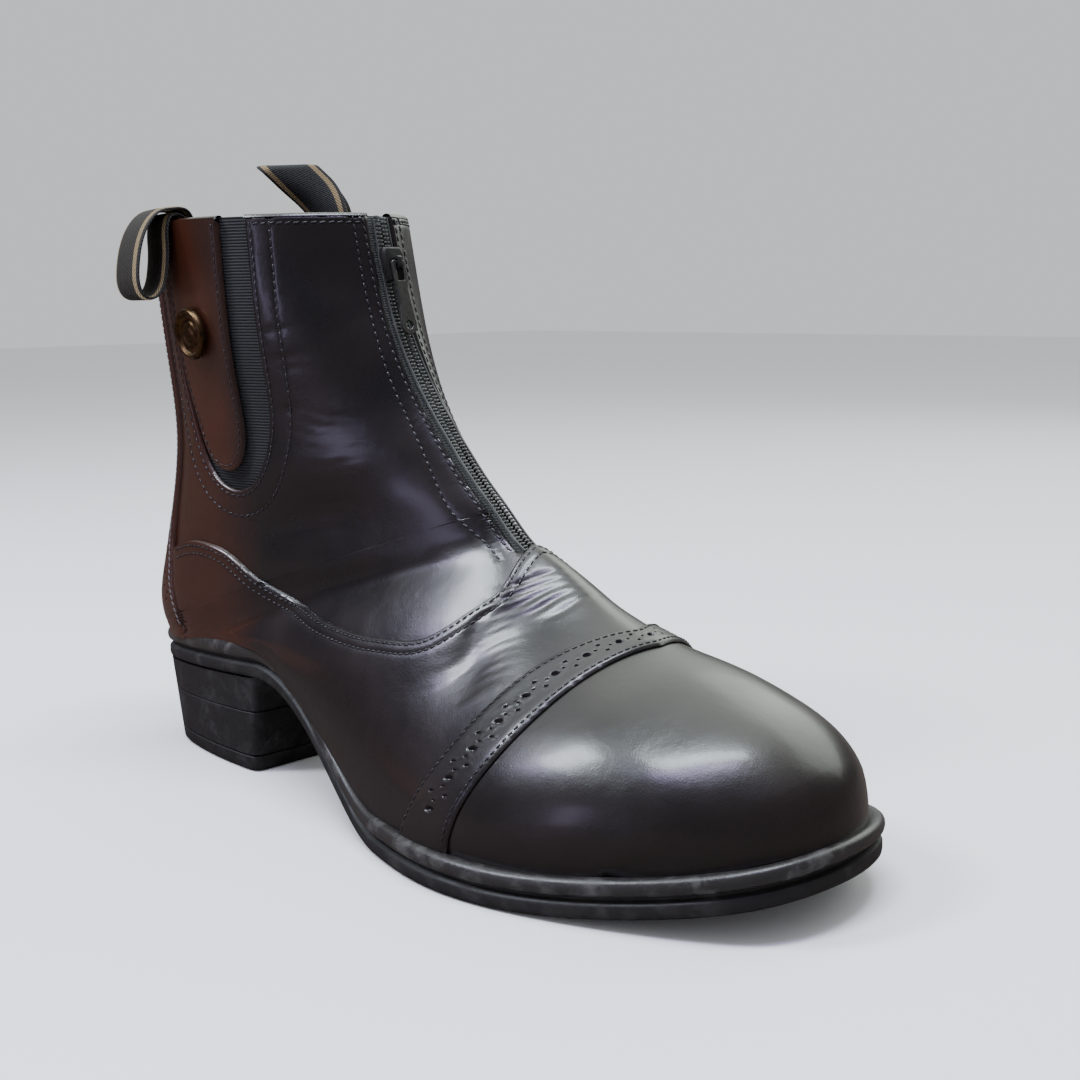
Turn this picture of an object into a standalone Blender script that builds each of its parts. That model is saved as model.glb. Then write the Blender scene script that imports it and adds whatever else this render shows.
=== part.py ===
"""Paddock boot for the right foot, with a front zip, elastic sides and a brogued toe strip.

Metres. The toe points along +X, the foot's inner side along +Y and up is +Z. The origin is on the
floor under the middle of the heel. Meshes are drawn from the rear of the sole, and one empty there
carries them.
"""
import math
from collections import namedtuple

import bmesh
import bpy
import numpy as np
from mathutils import Matrix, Vector
from mathutils.geometry import delaunay_2d_cdt

for old in list(bpy.data.objects):
    bpy.data.objects.remove(old)

# Driving sizes of the sole
SOLE_LENGTH = 0.290
BALL_WIDTH = 0.104
HEEL_HEIGHT = 0.0295
HEEL_LENGTH = 0.076
HEEL_PITCH = 0.005
BREAST_SLOPE = 0.004
SEAT_RISE = 0.005
TOP_PIECE = 0.005
OUTSOLE = 0.0062
WELT = 0.0046
WELT_WIDTH = 0.0105
TOE_SPRING = 0.012
TOE_SWING = 0.005
INSOLE = 0.003

# Driving sizes of the upper
BOOT_HEIGHT = 0.1840
LASTING_DEPTH = 0.010
UPPER_WALL = 0.0016
OVERLAY = 0.0013
BACK_STRIP = 0.0020
TOE_STRIP = 0.0011
ELASTIC = 0.0011
ELASTIC_LAP = 0.006
ZIP_OPENING = 0.0090
TAPE_WIDTH = 0.026
TAPE = 0.0006
CHAIN_WIDTH = 0.0058
CHAIN = 0.0018

# Driving sizes of the fittings
SLIDER_LENGTH = 0.0105
SLIDER_WIDTH = 0.0082
SLIDER_HEIGHT = 0.0024
BRIDGE_WIDTH = 0.0016
BRIDGE_BAR = 0.0009
PULLER_LENGTH = 0.0235
PULLER_WIDTH = 0.0060
PULLER = 0.0012
PULLER_HOLE = 0.0026
BUTTON_DIAMETER = 0.0165
BUTTON_HEIGHT = 0.0034
WEBBING_WIDTH = 0.020
WEBBING = 0.0012

# Clearances
GAP = 0.0003
SEAT_GAP = 0.0007
CUT_GAP = 0.0005

# How finely the curved faces are cut
COLLAR_ROWS = 12
FOOT_ROWS = 16
GIRTH_ROWS = 10
SOLE_ROWS = 36

# Shares of the sole's length: where the arch comes down to the ball and where the toe spring starts
ARCH_START = 0.270
ARCH_END = 0.555
SPRING_START = 0.720

# Half widths of the sole as shares of the ball width, at even steps of its edge from heel to toe
Edge = namedtuple("Edge", "lateral medial")
SOLE_EDGE = (
    Edge(0.000, 0.000),
    Edge(0.183, 0.178),
    Edge(0.260, 0.288),
    Edge(0.290, 0.305),
    Edge(0.308, 0.306),
    Edge(0.412, 0.334),
    Edge(0.520, 0.430),
    Edge(0.470, 0.472),
    Edge(0.363, 0.420),
    Edge(0.230, 0.252),
    Edge(0.000, 0.000),
)

# Sections of the upper, each a slanted ring from a rear point to a front point. Rear and front are
# shares of the sole's length, low and high of the boot's height. Lateral and medial are half widths as
# shares of the ball width, widest is where they are reached from rear to front, crown and flank are how
# square the ring is before and behind that, and lean moves the crest inwards as a share of the ball width.
Ring = namedtuple("Ring", "name rear low front high lateral medial widest crown flank lean")
SHAFT_RINGS = (
    Ring("collar", 0.0590, 1.0000, 0.4030, 1.0030, 0.368, 0.335, 0.50, 1.80, 2.40, -0.014),
    Ring("shaft", 0.0635, 0.8700, 0.4170, 0.8890, 0.356, 0.341, 0.50, 1.75, 2.40, -0.005),
    Ring("calf", 0.0690, 0.7340, 0.4360, 0.7990, 0.336, 0.340, 0.48, 1.70, 2.40, 0.000),
    Ring("ankle", 0.0690, 0.5980, 0.4640, 0.7120, 0.313, 0.326, 0.44, 1.63, 2.45, 0.014),
    Ring("tendon", 0.0450, 0.4570, 0.5010, 0.6360, 0.300, 0.303, 0.38, 1.60, 2.50, 0.020),
    Ring("counter", 0.0170, 0.3300, 0.5400, 0.5680, 0.292, 0.288, 0.30, 1.58, 2.50, 0.024),
    Ring("heel", 0.0155, 0.2400, 0.5670, 0.5270, 0.288, 0.284, 0.26, 1.60, 2.60, 0.029),
)

# The foot's rings end below the sole's edge line, by depth as a share of the lasting depth
FootRing = namedtuple("FootRing", "name rear front high depth lateral medial widest crown flank lean")
FOOT_RINGS = (
    FootRing("seat", 0.0450, 0.5830, 0.4990, 0.80, 0.264, 0.284, 0.24, 1.65, 2.75, 0.034),
    FootRing("waist", 0.1210, 0.6020, 0.4710, 1.00, 0.280, 0.290, 0.24, 1.68, 3.10, 0.039),
    FootRing("shank", 0.2240, 0.6260, 0.4470, 1.00, 0.304, 0.310, 0.26, 1.70, 3.30, 0.045),
    FootRing("arch", 0.3280, 0.6560, 0.4170, 1.00, 0.336, 0.340, 0.28, 1.70, 3.40, 0.056),
    FootRing("joint", 0.4310, 0.6940, 0.3780, 1.00, 0.384, 0.376, 0.30, 1.75, 3.40, 0.066),
    FootRing("tread", 0.5340, 0.7370, 0.3460, 1.00, 0.448, 0.410, 0.30, 1.80, 3.40, 0.074),
    FootRing("ball", 0.6380, 0.7790, 0.3250, 1.00, 0.484, 0.432, 0.30, 1.85, 3.30, 0.075),
    FootRing("cap", 0.7210, 0.8310, 0.3070, 0.90, 0.468, 0.440, 0.30, 1.95, 3.05, 0.068),
    FootRing("toe", 0.7720, 0.8830, 0.2800, 0.70, 0.436, 0.427, 0.28, 2.05, 2.90, 0.065),
    FootRing("toe_box", 0.7960, 0.9270, 0.2500, 0.50, 0.408, 0.417, 0.24, 2.10, 2.70, 0.061),
    FootRing("toe_front", 0.8070, 0.9590, 0.2110, 0.30, 0.390, 0.412, 0.18, 2.10, 2.45, 0.058),
    FootRing("toe_foot", 0.8100, 0.9780, 0.1710, 0.15, 0.376, 0.410, 0.10, 2.05, 2.30, 0.052),
    FootRing("toe_line", 0.8100, 0.9830, 0.1300, 0.05, 0.368, 0.410, 0.04, 2.05, 2.20, 0.048),
)

# Lines drawn on the upper: station runs from the collar (0) to the toe's edge (1) down the crest, and
# girth from the crest (0) to the middle of the back or the sole's edge (1), on either side
Mark = namedtuple("Mark", "station girth")


def natural_spline(knots, values, at):
    """Values of a natural cubic spline through the knots."""
    knots = np.asarray(knots, float)
    values = np.asarray(values, float)
    at = np.asarray(at, float)
    step = np.diff(knots)
    slope = np.diff(values) / step
    system = np.eye(len(knots))
    right = np.zeros(len(knots))
    for i in range(1, len(knots) - 1):
        system[i, i - 1 : i + 2] = step[i - 1], 2 * (step[i - 1] + step[i]), step[i]
        right[i] = 6 * (slope[i] - slope[i - 1])
    bend = np.linalg.solve(system, right)
    i = np.clip(np.searchsorted(knots, at) - 1, 0, len(knots) - 2)
    before = at - knots[i]
    after = knots[i + 1] - at
    curve = (bend[i] * after**3 + bend[i + 1] * before**3) / (6 * step[i])
    low = (values[i] / step[i] - bend[i] * step[i] / 6) * after
    high = (values[i + 1] / step[i] - bend[i + 1] * step[i] / 6) * before
    return curve + low + high


def ease(start, end, x):
    """Rises smoothly from 0 at the start to 1 at the end."""
    t = np.clip((x - start) / (end - start), 0, 1)
    return t * t * (3 - 2 * t)


def underside(x):
    """Height of the outsole's lower face: over the heel, level under the ball, up again at the toe."""
    start = ARCH_START * SOLE_LENGTH
    seat = HEEL_HEIGHT + SEAT_RISE * np.minimum(x / start, 1)
    spring = SPRING_START * SOLE_LENGTH
    toe = np.clip((x - spring) / (SOLE_LENGTH - spring), 0, 1) ** 1.8
    return seat * (1 - ease(start, ARCH_END * SOLE_LENGTH, x)) + TOE_SPRING * toe


def sole_top(x):
    """Height of the outsole's upper face."""
    return underside(x) + OUTSOLE


def edge_line(x):
    """Height of the welt's upper face, where the upper meets the sole."""
    return sole_top(x) + GAP + WELT


def swing(x):
    """How far the sole's middle line swings towards the inner side."""
    return TOE_SWING * np.clip(2 * x / SOLE_LENGTH - 1, 0, 1) ** 1.5


def sole_edge(side, share):
    """Plan of the sole's edge at shares of its steps, on side -1 (lateral) or 1 (medial)."""
    knots = np.linspace(0, 1, len(SOLE_EDGE))
    half = [row.lateral if side < 0 else row.medial for row in SOLE_EDGE]
    x = SOLE_LENGTH * (1 - np.cos(math.pi * share)) / 2
    return x, side * BALL_WIDTH * natural_spline(knots, half, share) + swing(x)


def sole_plan(inset):
    """Plan points of the sole's edge moved inwards: lateral from heel to toe, then medial back."""
    share = np.linspace(0, 1, SOLE_ROWS + 1)
    lateral = np.stack(sole_edge(-1, share), 1)
    medial = np.stack(sole_edge(1, share), 1)[-2:0:-1]
    plan = np.vstack([lateral, medial])
    along = np.roll(plan, -1, 0) - np.roll(plan, 1, 0)
    inward = np.stack([-along[:, 1], along[:, 0]], 1) / np.linalg.norm(along, axis=1)[:, None]
    return plan + inset * inward


def ring_table():
    """All rings in metres: rear x and z, front x and z, half widths, widest, crown, flank and lean."""
    rows = []
    for r in SHAFT_RINGS:
        ends = [r.rear * SOLE_LENGTH, r.low * BOOT_HEIGHT, r.front * SOLE_LENGTH, r.high * BOOT_HEIGHT]
        widths = [r.lateral * BALL_WIDTH, r.medial * BALL_WIDTH]
        rows.append(ends + widths + [r.widest, r.crown, r.flank, r.lean * BALL_WIDTH])
    for r in FOOT_RINGS:
        rear = r.rear * SOLE_LENGTH
        low = float(edge_line(rear)) - r.depth * LASTING_DEPTH
        ends = [rear, low, r.front * SOLE_LENGTH, r.high * BOOT_HEIGHT]
        widths = [r.lateral * BALL_WIDTH, r.medial * BALL_WIDTH]
        rows.append(ends + widths + [r.widest, r.crown, r.flank, r.lean * BALL_WIDTH])
    return np.array(rows)


def ring_arc(table, knots, station, side, points=160):
    """One side of the ring at a station, from the crest down and round to the rear or the underside."""
    columns = [float(natural_spline(knots, table[:, k], station)) for k in range(table.shape[1])]
    rear, low, front, high, lateral, medial, widest, crown, flank, lean = columns
    half = lateral if side < 0 else medial
    turn = np.linspace(0, math.pi / 2, points // 2)
    width = np.r_[half * np.sin(turn) ** (2 / crown), half * np.cos(turn[1:]) ** (2 / flank)]
    forward = np.r_[
        widest + (1 - widest) * np.cos(turn) ** (2 / crown), widest * (1 - np.sin(turn[1:]) ** (2 / flank))
    ]
    middle = swing(rear) * (1 - forward) + lean * forward
    return np.stack([rear + (front - rear) * forward, middle + side * width, low + (high - low) * forward], 1)


def cut_at_sole(arc):
    """The arc's part above the sole's edge line, and whether it reaches that line."""
    height = arc[:, 2] - edge_line(arc[:, 0]) - SEAT_GAP
    below = np.flatnonzero(height < 0)
    if not len(below) or below[0] == 0:
        return arc, False
    i = below[0]
    share = height[i - 1] / (height[i - 1] - height[i])
    return np.vstack([arc[:i], arc[i - 1] + share * (arc[i] - arc[i - 1])]), True


def spaced(line, shares):
    """Points at shares of a line's length."""
    run = np.r_[0, np.cumsum(np.linalg.norm(np.diff(line, axis=0), axis=1))]
    return np.stack([np.interp(shares * run[-1], run, line[:, k]) for k in range(line.shape[1])], 1)


class Last:
    """The upper's outer face as a net of stations by girths, with the direction outwards at each knot."""

    def __init__(self):
        table = ring_table()
        steps = np.linalg.norm(np.diff(table[:, :2], axis=0), axis=1)
        steps += np.linalg.norm(np.diff(table[:, 2:4], axis=0), axis=1)
        knots = np.r_[0, np.cumsum(steps)] / steps.sum()
        self.heel = self.find_heel(table, knots)
        foot = np.linspace(self.heel, 1, FOOT_ROWS + 1)
        round_heel = self.heel + (foot[1] - self.heel) * np.array([0.07, 0.25, 0.56])
        self.stations = np.r_[np.linspace(0, self.heel, COLLAR_ROWS + 1), round_heel, foot[1:]]
        self.girths = np.linspace(-1, 1, 2 * GIRTH_ROWS + 1)
        shares = np.linspace(0, 1, GIRTH_ROWS + 1)
        self.points = np.zeros((len(self.stations), len(self.girths), 3))
        self.half_girth = np.zeros((len(self.stations), 2))
        for i, station in enumerate(self.stations):
            for k, side in enumerate((-1, 1)):
                arc = cut_at_sole(ring_arc(table, knots, station, side))[0]
                half = spaced(arc, shares)
                self.half_girth[i, k] = np.linalg.norm(np.diff(arc, axis=0), axis=1).sum()
                if side < 0:
                    self.points[i, : GIRTH_ROWS + 1] = half[::-1]
                else:
                    self.points[i, GIRTH_ROWS:] = half
        self.outward = self.find_outward()
        crest = self.points[:, GIRTH_ROWS]
        length = np.linalg.norm(np.diff(crest, axis=0), axis=1).sum()
        self.scale = np.array([length, float(self.half_girth.mean())])

    @staticmethod
    def find_heel(table, knots):
        """The station whose ring touches the sole's edge line just at the rear."""
        above, below = 0.0, 0.6
        for _ in range(40):
            middle = (above + below) / 2
            if cut_at_sole(ring_arc(table, knots, middle, -1))[1]:
                below = middle
            else:
                above = middle
        return above

    def find_outward(self):
        """Unit directions at the knots, averaged from the faces round each and across the back."""
        p = self.points
        face = np.cross(p[1:, 1:] - p[:-1, :-1], p[:-1, 1:] - p[1:, :-1])
        face /= np.maximum(np.linalg.norm(face, axis=2), 1e-12)[:, :, None]
        total = np.zeros_like(p)
        for rows in (slice(0, -1), slice(1, None)):
            for columns in (slice(0, -1), slice(1, None)):
                total[rows, columns] += face
        back = total[: COLLAR_ROWS + 1, 0] + total[: COLLAR_ROWS + 1, -1]
        total[: COLLAR_ROWS + 1, 0] = back
        total[: COLLAR_ROWS + 1, -1] = back
        return total / np.linalg.norm(total, axis=2)[:, :, None]

    def net(self, lift):
        """The net moved outwards by a lift, with its collar level and its lower edge kept on the sole."""
        p = self.points + lift * self.outward
        p[0, :, 2] = self.points[0, :, 2]
        line = edge_line(p[:, :, 0]) + SEAT_GAP
        p[:, :, 2] = np.maximum(p[:, :, 2], line)
        for edge in ((slice(COLLAR_ROWS, None), 0), (slice(COLLAR_ROWS, None), -1), (-1, slice(None))):
            level = self.outward[edge] * (1, 1, 0)
            p[edge] = self.points[edge] + lift * level / np.linalg.norm(level, axis=-1)[..., None]
            p[edge][..., 2] = line[edge]
        return p

    def at(self, marks, lift):
        """Points over (station, girth) marks at a lift."""
        return self.read(self.net(lift), marks)

    def read(self, net, marks):
        """A net's values at marks, flat over both halves of each of its cells."""
        marks = np.asarray(marks, float)
        i = np.clip(np.searchsorted(self.stations, marks[:, 0], "right") - 1, 0, len(self.stations) - 2)
        j = np.clip(np.searchsorted(self.girths, marks[:, 1], "right") - 1, 0, len(self.girths) - 2)
        lateral = self.girths[j] < -1e-6
        inner = j + lateral
        outer = j + 1 - lateral
        a = ((marks[:, 0] - self.stations[i]) / (self.stations[i + 1] - self.stations[i]))[:, None]
        b = ((marks[:, 1] - self.girths[inner]) / (self.girths[outer] - self.girths[inner]))[:, None]
        corner = np.where(a > b, net[i + 1, inner], net[i, outer])
        far = np.minimum(a, b)
        return net[i, inner] * (1 - np.maximum(a, b)) + corner * np.abs(a - b) + net[i + 1, outer] * far

    def share(self, station, distance, side):
        """The girth, with its sign, that lies a distance in metres from the crest."""
        half = np.interp(station, self.stations, self.half_girth[:, 0 if side < 0 else 1])
        return side * distance / half


LAST = Last()


def inside(points, outline):
    """Which plan points lie within a closed outline."""
    result = np.zeros(len(points), bool)
    following = np.roll(outline, -1, 0)
    for a, b in zip(outline, following):
        crosses = (a[1] > points[:, 1]) != (b[1] > points[:, 1])
        rise = b[1] - a[1] if b[1] != a[1] else 1.0
        result ^= crosses & (points[:, 0] < a[0] + (points[:, 1] - a[1]) / rise * (b[0] - a[0]))
    return result


def trace(marks, side, count):
    """Marks evenly along a smooth line over the last through hand-placed marks, on one side."""
    rows = np.array([(mark.station, side * mark.girth) for mark in marks])
    through = LAST.at(rows, 0.0)
    run = np.r_[0, np.cumsum(np.linalg.norm(np.diff(through, axis=0), axis=1))]
    where = np.linspace(0, run[-1], count)
    target = np.stack([natural_spline(run, through[:, k], where) for k in range(3)], 1)
    found = np.stack([np.interp(where, run, rows[:, k]) for k in range(2)], 1)
    limit = np.array([[0, min(side, 0)], [1, max(side, 0)]])
    step = 1e-4
    for _ in range(12):
        here = LAST.at(found, 0.0)
        inner = np.where(found > 0.5, -step, step)
        slopes = [(LAST.at(found + inner * axis, 0.0) - here) / (inner @ axis)[:, None] for axis in np.eye(2)]
        for n, (s, g, miss) in enumerate(zip(*slopes, target - here)):
            move = np.linalg.lstsq(np.stack([s, g], 1), miss, rcond=None)[0]
            found[n] = np.clip(found[n] + np.clip(move, -0.05, 0.05), limit[0], limit[1])
    found[0], found[-1] = rows[0], rows[-1]
    return found


def moved_line(line, distance):
    """A line of marks moved to its left by a distance in metres."""
    flat = line * LAST.scale
    along = np.gradient(flat, axis=0)
    left = np.stack([-along[:, 1], along[:, 0]], 1) / np.linalg.norm(along, axis=1)[:, None]
    return (flat + distance * left) / LAST.scale


def net_triangles(outline):
    """Marks and triangles of the last's net inside an outline, split along the net's own lines."""
    low, high = outline.min(0), outline.max(0)
    stations = LAST.stations[(LAST.stations > low[0] - 0.06) & (LAST.stations < high[0] + 0.06)]
    girths = LAST.girths[(LAST.girths > low[1] - 0.1) & (LAST.girths < high[1] + 0.1)]
    marks = [(s, g) for s in stations for g in girths]
    width = len(girths)
    edges = [(k, k + 1) for k in range(len(marks)) if (k + 1) % width]
    edges += [(k, k + width) for k in range(len(marks) - width)]
    for k in range(len(marks) - width):
        if (k + 1) % width:
            edges.append((k + 1, k + width) if marks[k][1] < -1e-6 else (k, k + width + 1))
    first = len(marks)
    marks += [tuple(mark) for mark in outline]
    edges += [(k, k + 1) for k in range(first, len(marks) - 1)] + [(len(marks) - 1, first)]
    flat = [Vector(mark * LAST.scale) for mark in np.array(marks)]
    corners, _, faces, *_ = delaunay_2d_cdt(flat, edges, [], 0, 1e-6)
    corners = np.array([tuple(corner) for corner in corners]) / LAST.scale
    faces = np.array(faces)
    a, b, c = (corners[faces[:, k]] for k in range(3))
    area = (b[:, 0] - a[:, 0]) * (c[:, 1] - a[:, 1]) - (b[:, 1] - a[:, 1]) * (c[:, 0] - a[:, 0])
    faces = np.where(area[:, None] < 0, faces[:, ::-1], faces)
    return corners, faces[inside((a + b + c) / 3, outline) & (np.abs(area) > 1e-9)]


def panel(name, finish, outlines, low, high):
    """A closed sheet over the last inside outlines of marks, between a low and a high lift."""
    numbers = {}
    marks = []
    triangles = []
    for outline in outlines:
        corners, faces = net_triangles(np.asarray(outline, float))
        for face in faces:
            triangle = []
            for station, girth in corners[face]:
                back = station < LAST.heel + 1e-5 and abs(girth) > 1 - 1e-5
                key = (round(station, 5), 1.0 if back else round(girth, 5))
                if key not in numbers:
                    numbers[key] = len(marks)
                    marks.append((station, girth))
                triangle.append(numbers[key])
            if len(set(triangle)) == 3:
                triangles.append(tuple(triangle))
    count = len(marks)
    edges = {(t[k], t[(k + 1) % 3]) for t in triangles for k in range(3)}
    faces = triangles + [tuple(k + count for k in t[::-1]) for t in triangles]
    faces += [(b, a, a + count, b + count) for a, b in edges if (b, a) not in edges]
    points = np.vstack([LAST.at(marks, high), LAST.at(marks, low)])
    return add_mesh(name, points, faces, finish)


def add_mesh(name, points, faces, finish):
    """An object from points and faces, drawn from the rear of the sole."""
    mesh = bpy.data.meshes.new(name)
    mesh.from_pydata([tuple(point) for point in points], [], faces)
    return add_object(name, mesh, finish)


def add_object(name, mesh, finish):
    """Puts a mesh in the boot's collection with its material, carried by the sole's rear."""
    mesh.shade_smooth()
    mesh.set_sharp_from_angle(angle=math.radians(35))
    mesh.materials.append(finish)
    piece = bpy.data.objects.new(name, mesh)
    BOOT.objects.link(piece)
    piece.parent = SOLE_REAR
    return piece


def material(name, colour, roughness, metallic=0.0):
    """A plain Principled BSDF."""
    made = bpy.data.materials.new(name)
    made.use_nodes = True
    shader = made.node_tree.nodes["Principled BSDF"]
    shader.inputs["Base Color"].default_value = (*colour, 1)
    shader.inputs["Roughness"].default_value = roughness
    shader.inputs["Metallic"].default_value = metallic
    return made


def lofted(name, finish, rings, cross):
    """A solid through rings of points, closed by caps that the cross function splits into faces."""
    size = len(rings[0])
    faces = []
    for level in range(len(rings) - 1):
        first = level * size
        for k in range(size):
            after = (k + 1) % size
            faces.append((first + k, first + after, first + size + after, first + size + k))
    bottom = (len(rings) - 1) * size
    faces += [face[::-1] for face in cross(size)]
    faces += [tuple(k + bottom for k in face) for face in cross(size)]
    piece = add_mesh(name, np.vstack(rings), faces, finish)
    outwards(piece.data)
    return piece


def outwards(mesh):
    """Turns a closed mesh's faces to point out."""
    work = bmesh.new()
    work.from_mesh(mesh)
    bmesh.ops.recalc_face_normals(work, faces=work.faces)
    work.to_mesh(mesh)
    work.free()


def sole_cross(size):
    """Faces straight across the sole, from each lateral step to the medial one."""
    half = size // 2
    faces = [(0, 1, size - 1)]
    for k in range(1, half - 1):
        faces.append((k, k + 1, size - k - 1, size - k))
    return faces + [(half - 1, half, half + 1)]


def one_face(size):
    """A flat cap."""
    return [tuple(range(size))]


def raised(plan, height):
    """Plan points with heights from a function of x."""
    return np.c_[plan, height(plan[:, 0])]


def outsole():
    """The rubber outsole: a groove under the welt, a side wall standing out below it and a bevelled tread."""
    Row = namedtuple("Row", "inset rise")
    side = (Row(0.0022, 1.0), Row(0.0022, 0.84), Row(0.0008, 0.72), Row(0.0006, 0.20), Row(0.0016, 0.0))
    rings = []
    for row in side:
        rings.append(raised(sole_plan(row.inset), lambda x, rise=row.rise: underside(x) + rise * OUTSOLE))
    return lofted("outsole", RUBBER, rings, sole_cross)


def welt():
    """The welt: a band round the sole's edge with a rounded rib, open in the middle for the insole."""
    Row = namedtuple("Row", "inset rise")
    side = (Row(0.0012, 0.0), Row(0.0003, 0.22), Row(0.0, 0.52), Row(0.0004, 0.82), Row(0.0015, 1.0))
    inner = (Row(WELT_WIDTH, 1.0), Row(WELT_WIDTH, 0.0))
    rings = []
    for row in side + inner:
        rings.append(raised(sole_plan(row.inset), lambda x, rise=row.rise: sole_top(x) + GAP + rise * WELT))
    size = len(rings[0])
    faces = []
    for level in range(len(rings)):
        first = level * size
        second = (level + 1) % len(rings) * size
        for k in range(size):
            after = (k + 1) % size
            faces.append((first + k, first + after, second + after, second + k))
    piece = add_mesh("welt", np.vstack(rings), faces, RUBBER_EDGE)
    outwards(piece.data)
    return piece


def insole():
    """The insole, on the outsole inside the welt."""
    plan = sole_plan(WELT_WIDTH + CUT_GAP)
    rings = [raised(plan, lambda x, rise=rise: sole_top(x) + GAP + rise) for rise in (INSOLE, 0.0)]
    return lofted("insole", LINING, rings, sole_cross)


def heel_plan(depth):
    """The heel's outline at a depth share, from the seat (0) to the floor (1)."""
    plan = sole_plan(0.0012)
    half = len(plan) // 2
    lateral = plan[: half + 1]
    lateral = lateral[lateral[:, 0] < HEEL_LENGTH]
    medial = plan[half:][plan[half:, 0] < HEEL_LENGTH]
    front = []
    for end, inner in ((lateral[-1], 0.96), (medial[0], 0.96)):
        front.append((HEEL_LENGTH, end[1] * inner))
    outline = np.vstack([lateral, front, medial])
    shorter = (HEEL_PITCH + BREAST_SLOPE) / HEEL_LENGTH
    x = HEEL_PITCH * depth + outline[:, 0] * (1 - shorter * depth)
    return np.stack([x, outline[:, 1] * (1 - 0.07 * depth)], 1)


def heel():
    """The heel block and the top piece that it stands on."""

    def seat(x):
        return HEEL_HEIGHT + SEAT_RISE * x / (ARCH_START * SOLE_LENGTH) - GAP

    def level(z):
        return lambda x: np.full_like(x, z)

    joint = 1 - TOP_PIECE / HEEL_HEIGHT
    block = [raised(heel_plan(0.0), seat), raised(heel_plan(joint), level(TOP_PIECE + GAP))]
    foot = [raised(heel_plan(joint), level(TOP_PIECE)), raised(heel_plan(1.0), level(0.0))]
    lofted("heel_block", RUBBER, block, one_face)
    lofted("heel_top_piece", RUBBER_EDGE, foot, one_face)


def gusset_edge(side):
    """The U of the elastic's opening, from the collar in front, round and back up."""
    marks = (
        Mark(0.000, 0.317),
        Mark(0.075, 0.335),
        Mark(0.155, 0.360),
        Mark(0.230, 0.400),
        Mark(0.268, 0.445),
        Mark(0.282, 0.508),
        Mark(0.262, 0.580),
        Mark(0.220, 0.640),
        Mark(0.140, 0.672),
        Mark(0.060, 0.655),
        Mark(0.000, 0.633),
    )
    return trace(marks, side, 19)


def collar_end(line):
    """A line of marks with its two ends brought to the collar."""
    line = line.copy()
    line[0, 0] = line[-1, 0] = 0.0
    return line


def zip_edge(side, width, end):
    """Marks beside the crest at half a width, from the collar down to an end station."""
    stations = np.append(LAST.stations[LAST.stations < end - 1e-6], end)
    return np.array([(station, LAST.share(station, width / 2, side)) for station in stations])


# Stations where the zip's slit, its tape and its chain of teeth end
ZIP_END = 0.485
TAPE_END = 0.495
CHAIN_END = 0.479


def upper():
    """The upper: one hollow shell, open at the collar, underneath, along the zip and at the elastics."""
    lateral = collar_end(gusset_edge(-1))
    medial = collar_end(gusset_edge(1))
    near = zip_edge(-1, ZIP_OPENING, ZIP_END)
    far = zip_edge(1, ZIP_OPENING, ZIP_END)
    corners = np.array([(0, -1), (1, -1), (1, 1), (0, 1)], float)
    outline = np.vstack([corners, medial[::-1], far, near[::-1], lateral])
    return panel("upper", LEATHER, [outline], -UPPER_WALL, 0.0)


def elastics():
    """The elastic on each side, sewn behind its opening's edge."""
    top = -UPPER_WALL - GAP
    for side, name in ((-1, "elastic_lateral"), (1, "elastic_medial")):
        edge = moved_line(gusset_edge(side), -side * ELASTIC_LAP)
        panel(name, WEB, [collar_end(edge)], top - ELASTIC, top)


def pull_tab():
    """The leather tab down the lateral elastic, with the round button on it."""
    marks = (
        Mark(0.000, 0.392),
        Mark(0.100, 0.422),
        Mark(0.190, 0.458),
        Mark(0.235, 0.474),
        Mark(0.254, 0.500),
        Mark(0.257, 0.540),
        Mark(0.240, 0.592),
        Mark(0.200, 0.632),
        Mark(0.130, 0.650),
        Mark(0.000, 0.615),
    )
    panel("leather_tab", TAB_LEATHER, [trace(marks, -1, 17)], -UPPER_WALL, TAB_LIFT)


BACK_EDGE = (
    Mark(0.0000, 0.740),
    Mark(0.1000, 0.752),
    Mark(0.2000, 0.776),
    Mark(0.2600, 0.790),
    Mark(0.3172, 0.779),
    Mark(0.3397, 0.768),
    Mark(0.3642, 0.760),
    Mark(0.3785, 0.758),
    Mark(0.3897, 0.762),
    Mark(0.3917, 0.832),
    Mark(0.4023, 0.940),
    Mark(0.4090, 1.000),
)
VAMP_SEAM = (
    Mark(0.4750, 0.000),
    Mark(0.5050, 0.060),
    Mark(0.5430, 0.130),
    Mark(0.5640, 0.180),
    Mark(0.5770, 0.250),
    Mark(0.5910, 0.358),
    Mark(0.5965, 0.452),
    Mark(0.5747, 0.558),
    Mark(0.5554, 0.616),
    Mark(0.5271, 0.664),
    Mark(0.4813, 0.686),
    Mark(0.4379, 0.652),
    Mark(0.4113, 0.608),
    Mark(0.3980, 0.569),
    Mark(0.3897, 0.503),
    Mark(0.3846, 0.507),
    Mark(0.3632, 0.539),
    Mark(0.3443, 0.580),
    Mark(0.3282, 0.639),
    Mark(0.3216, 0.692),
    Mark(0.3216, 0.745),
    Mark(0.3230, 0.785),
)
STRIP_REAR = (
    Mark(0.735, 0.000),
    Mark(0.717, 0.150),
    Mark(0.714, 0.300),
    Mark(0.724, 0.480),
    Mark(0.737, 0.660),
    Mark(0.748, 0.840),
    Mark(0.758, 1.000),
)
STRIP_FRONT = (
    Mark(0.789, 0.000),
    Mark(0.781, 0.150),
    Mark(0.782, 0.330),
    Mark(0.790, 0.520),
    Mark(0.797, 0.700),
    Mark(0.803, 0.850),
    Mark(0.812, 1.000),
)


def across(marks, count):
    """A line of marks from the lateral edge over the crest to the medial edge."""
    return np.vstack([trace(marks, -1, count)[::-1], trace(marks, 1, count)[1:]])


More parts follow.
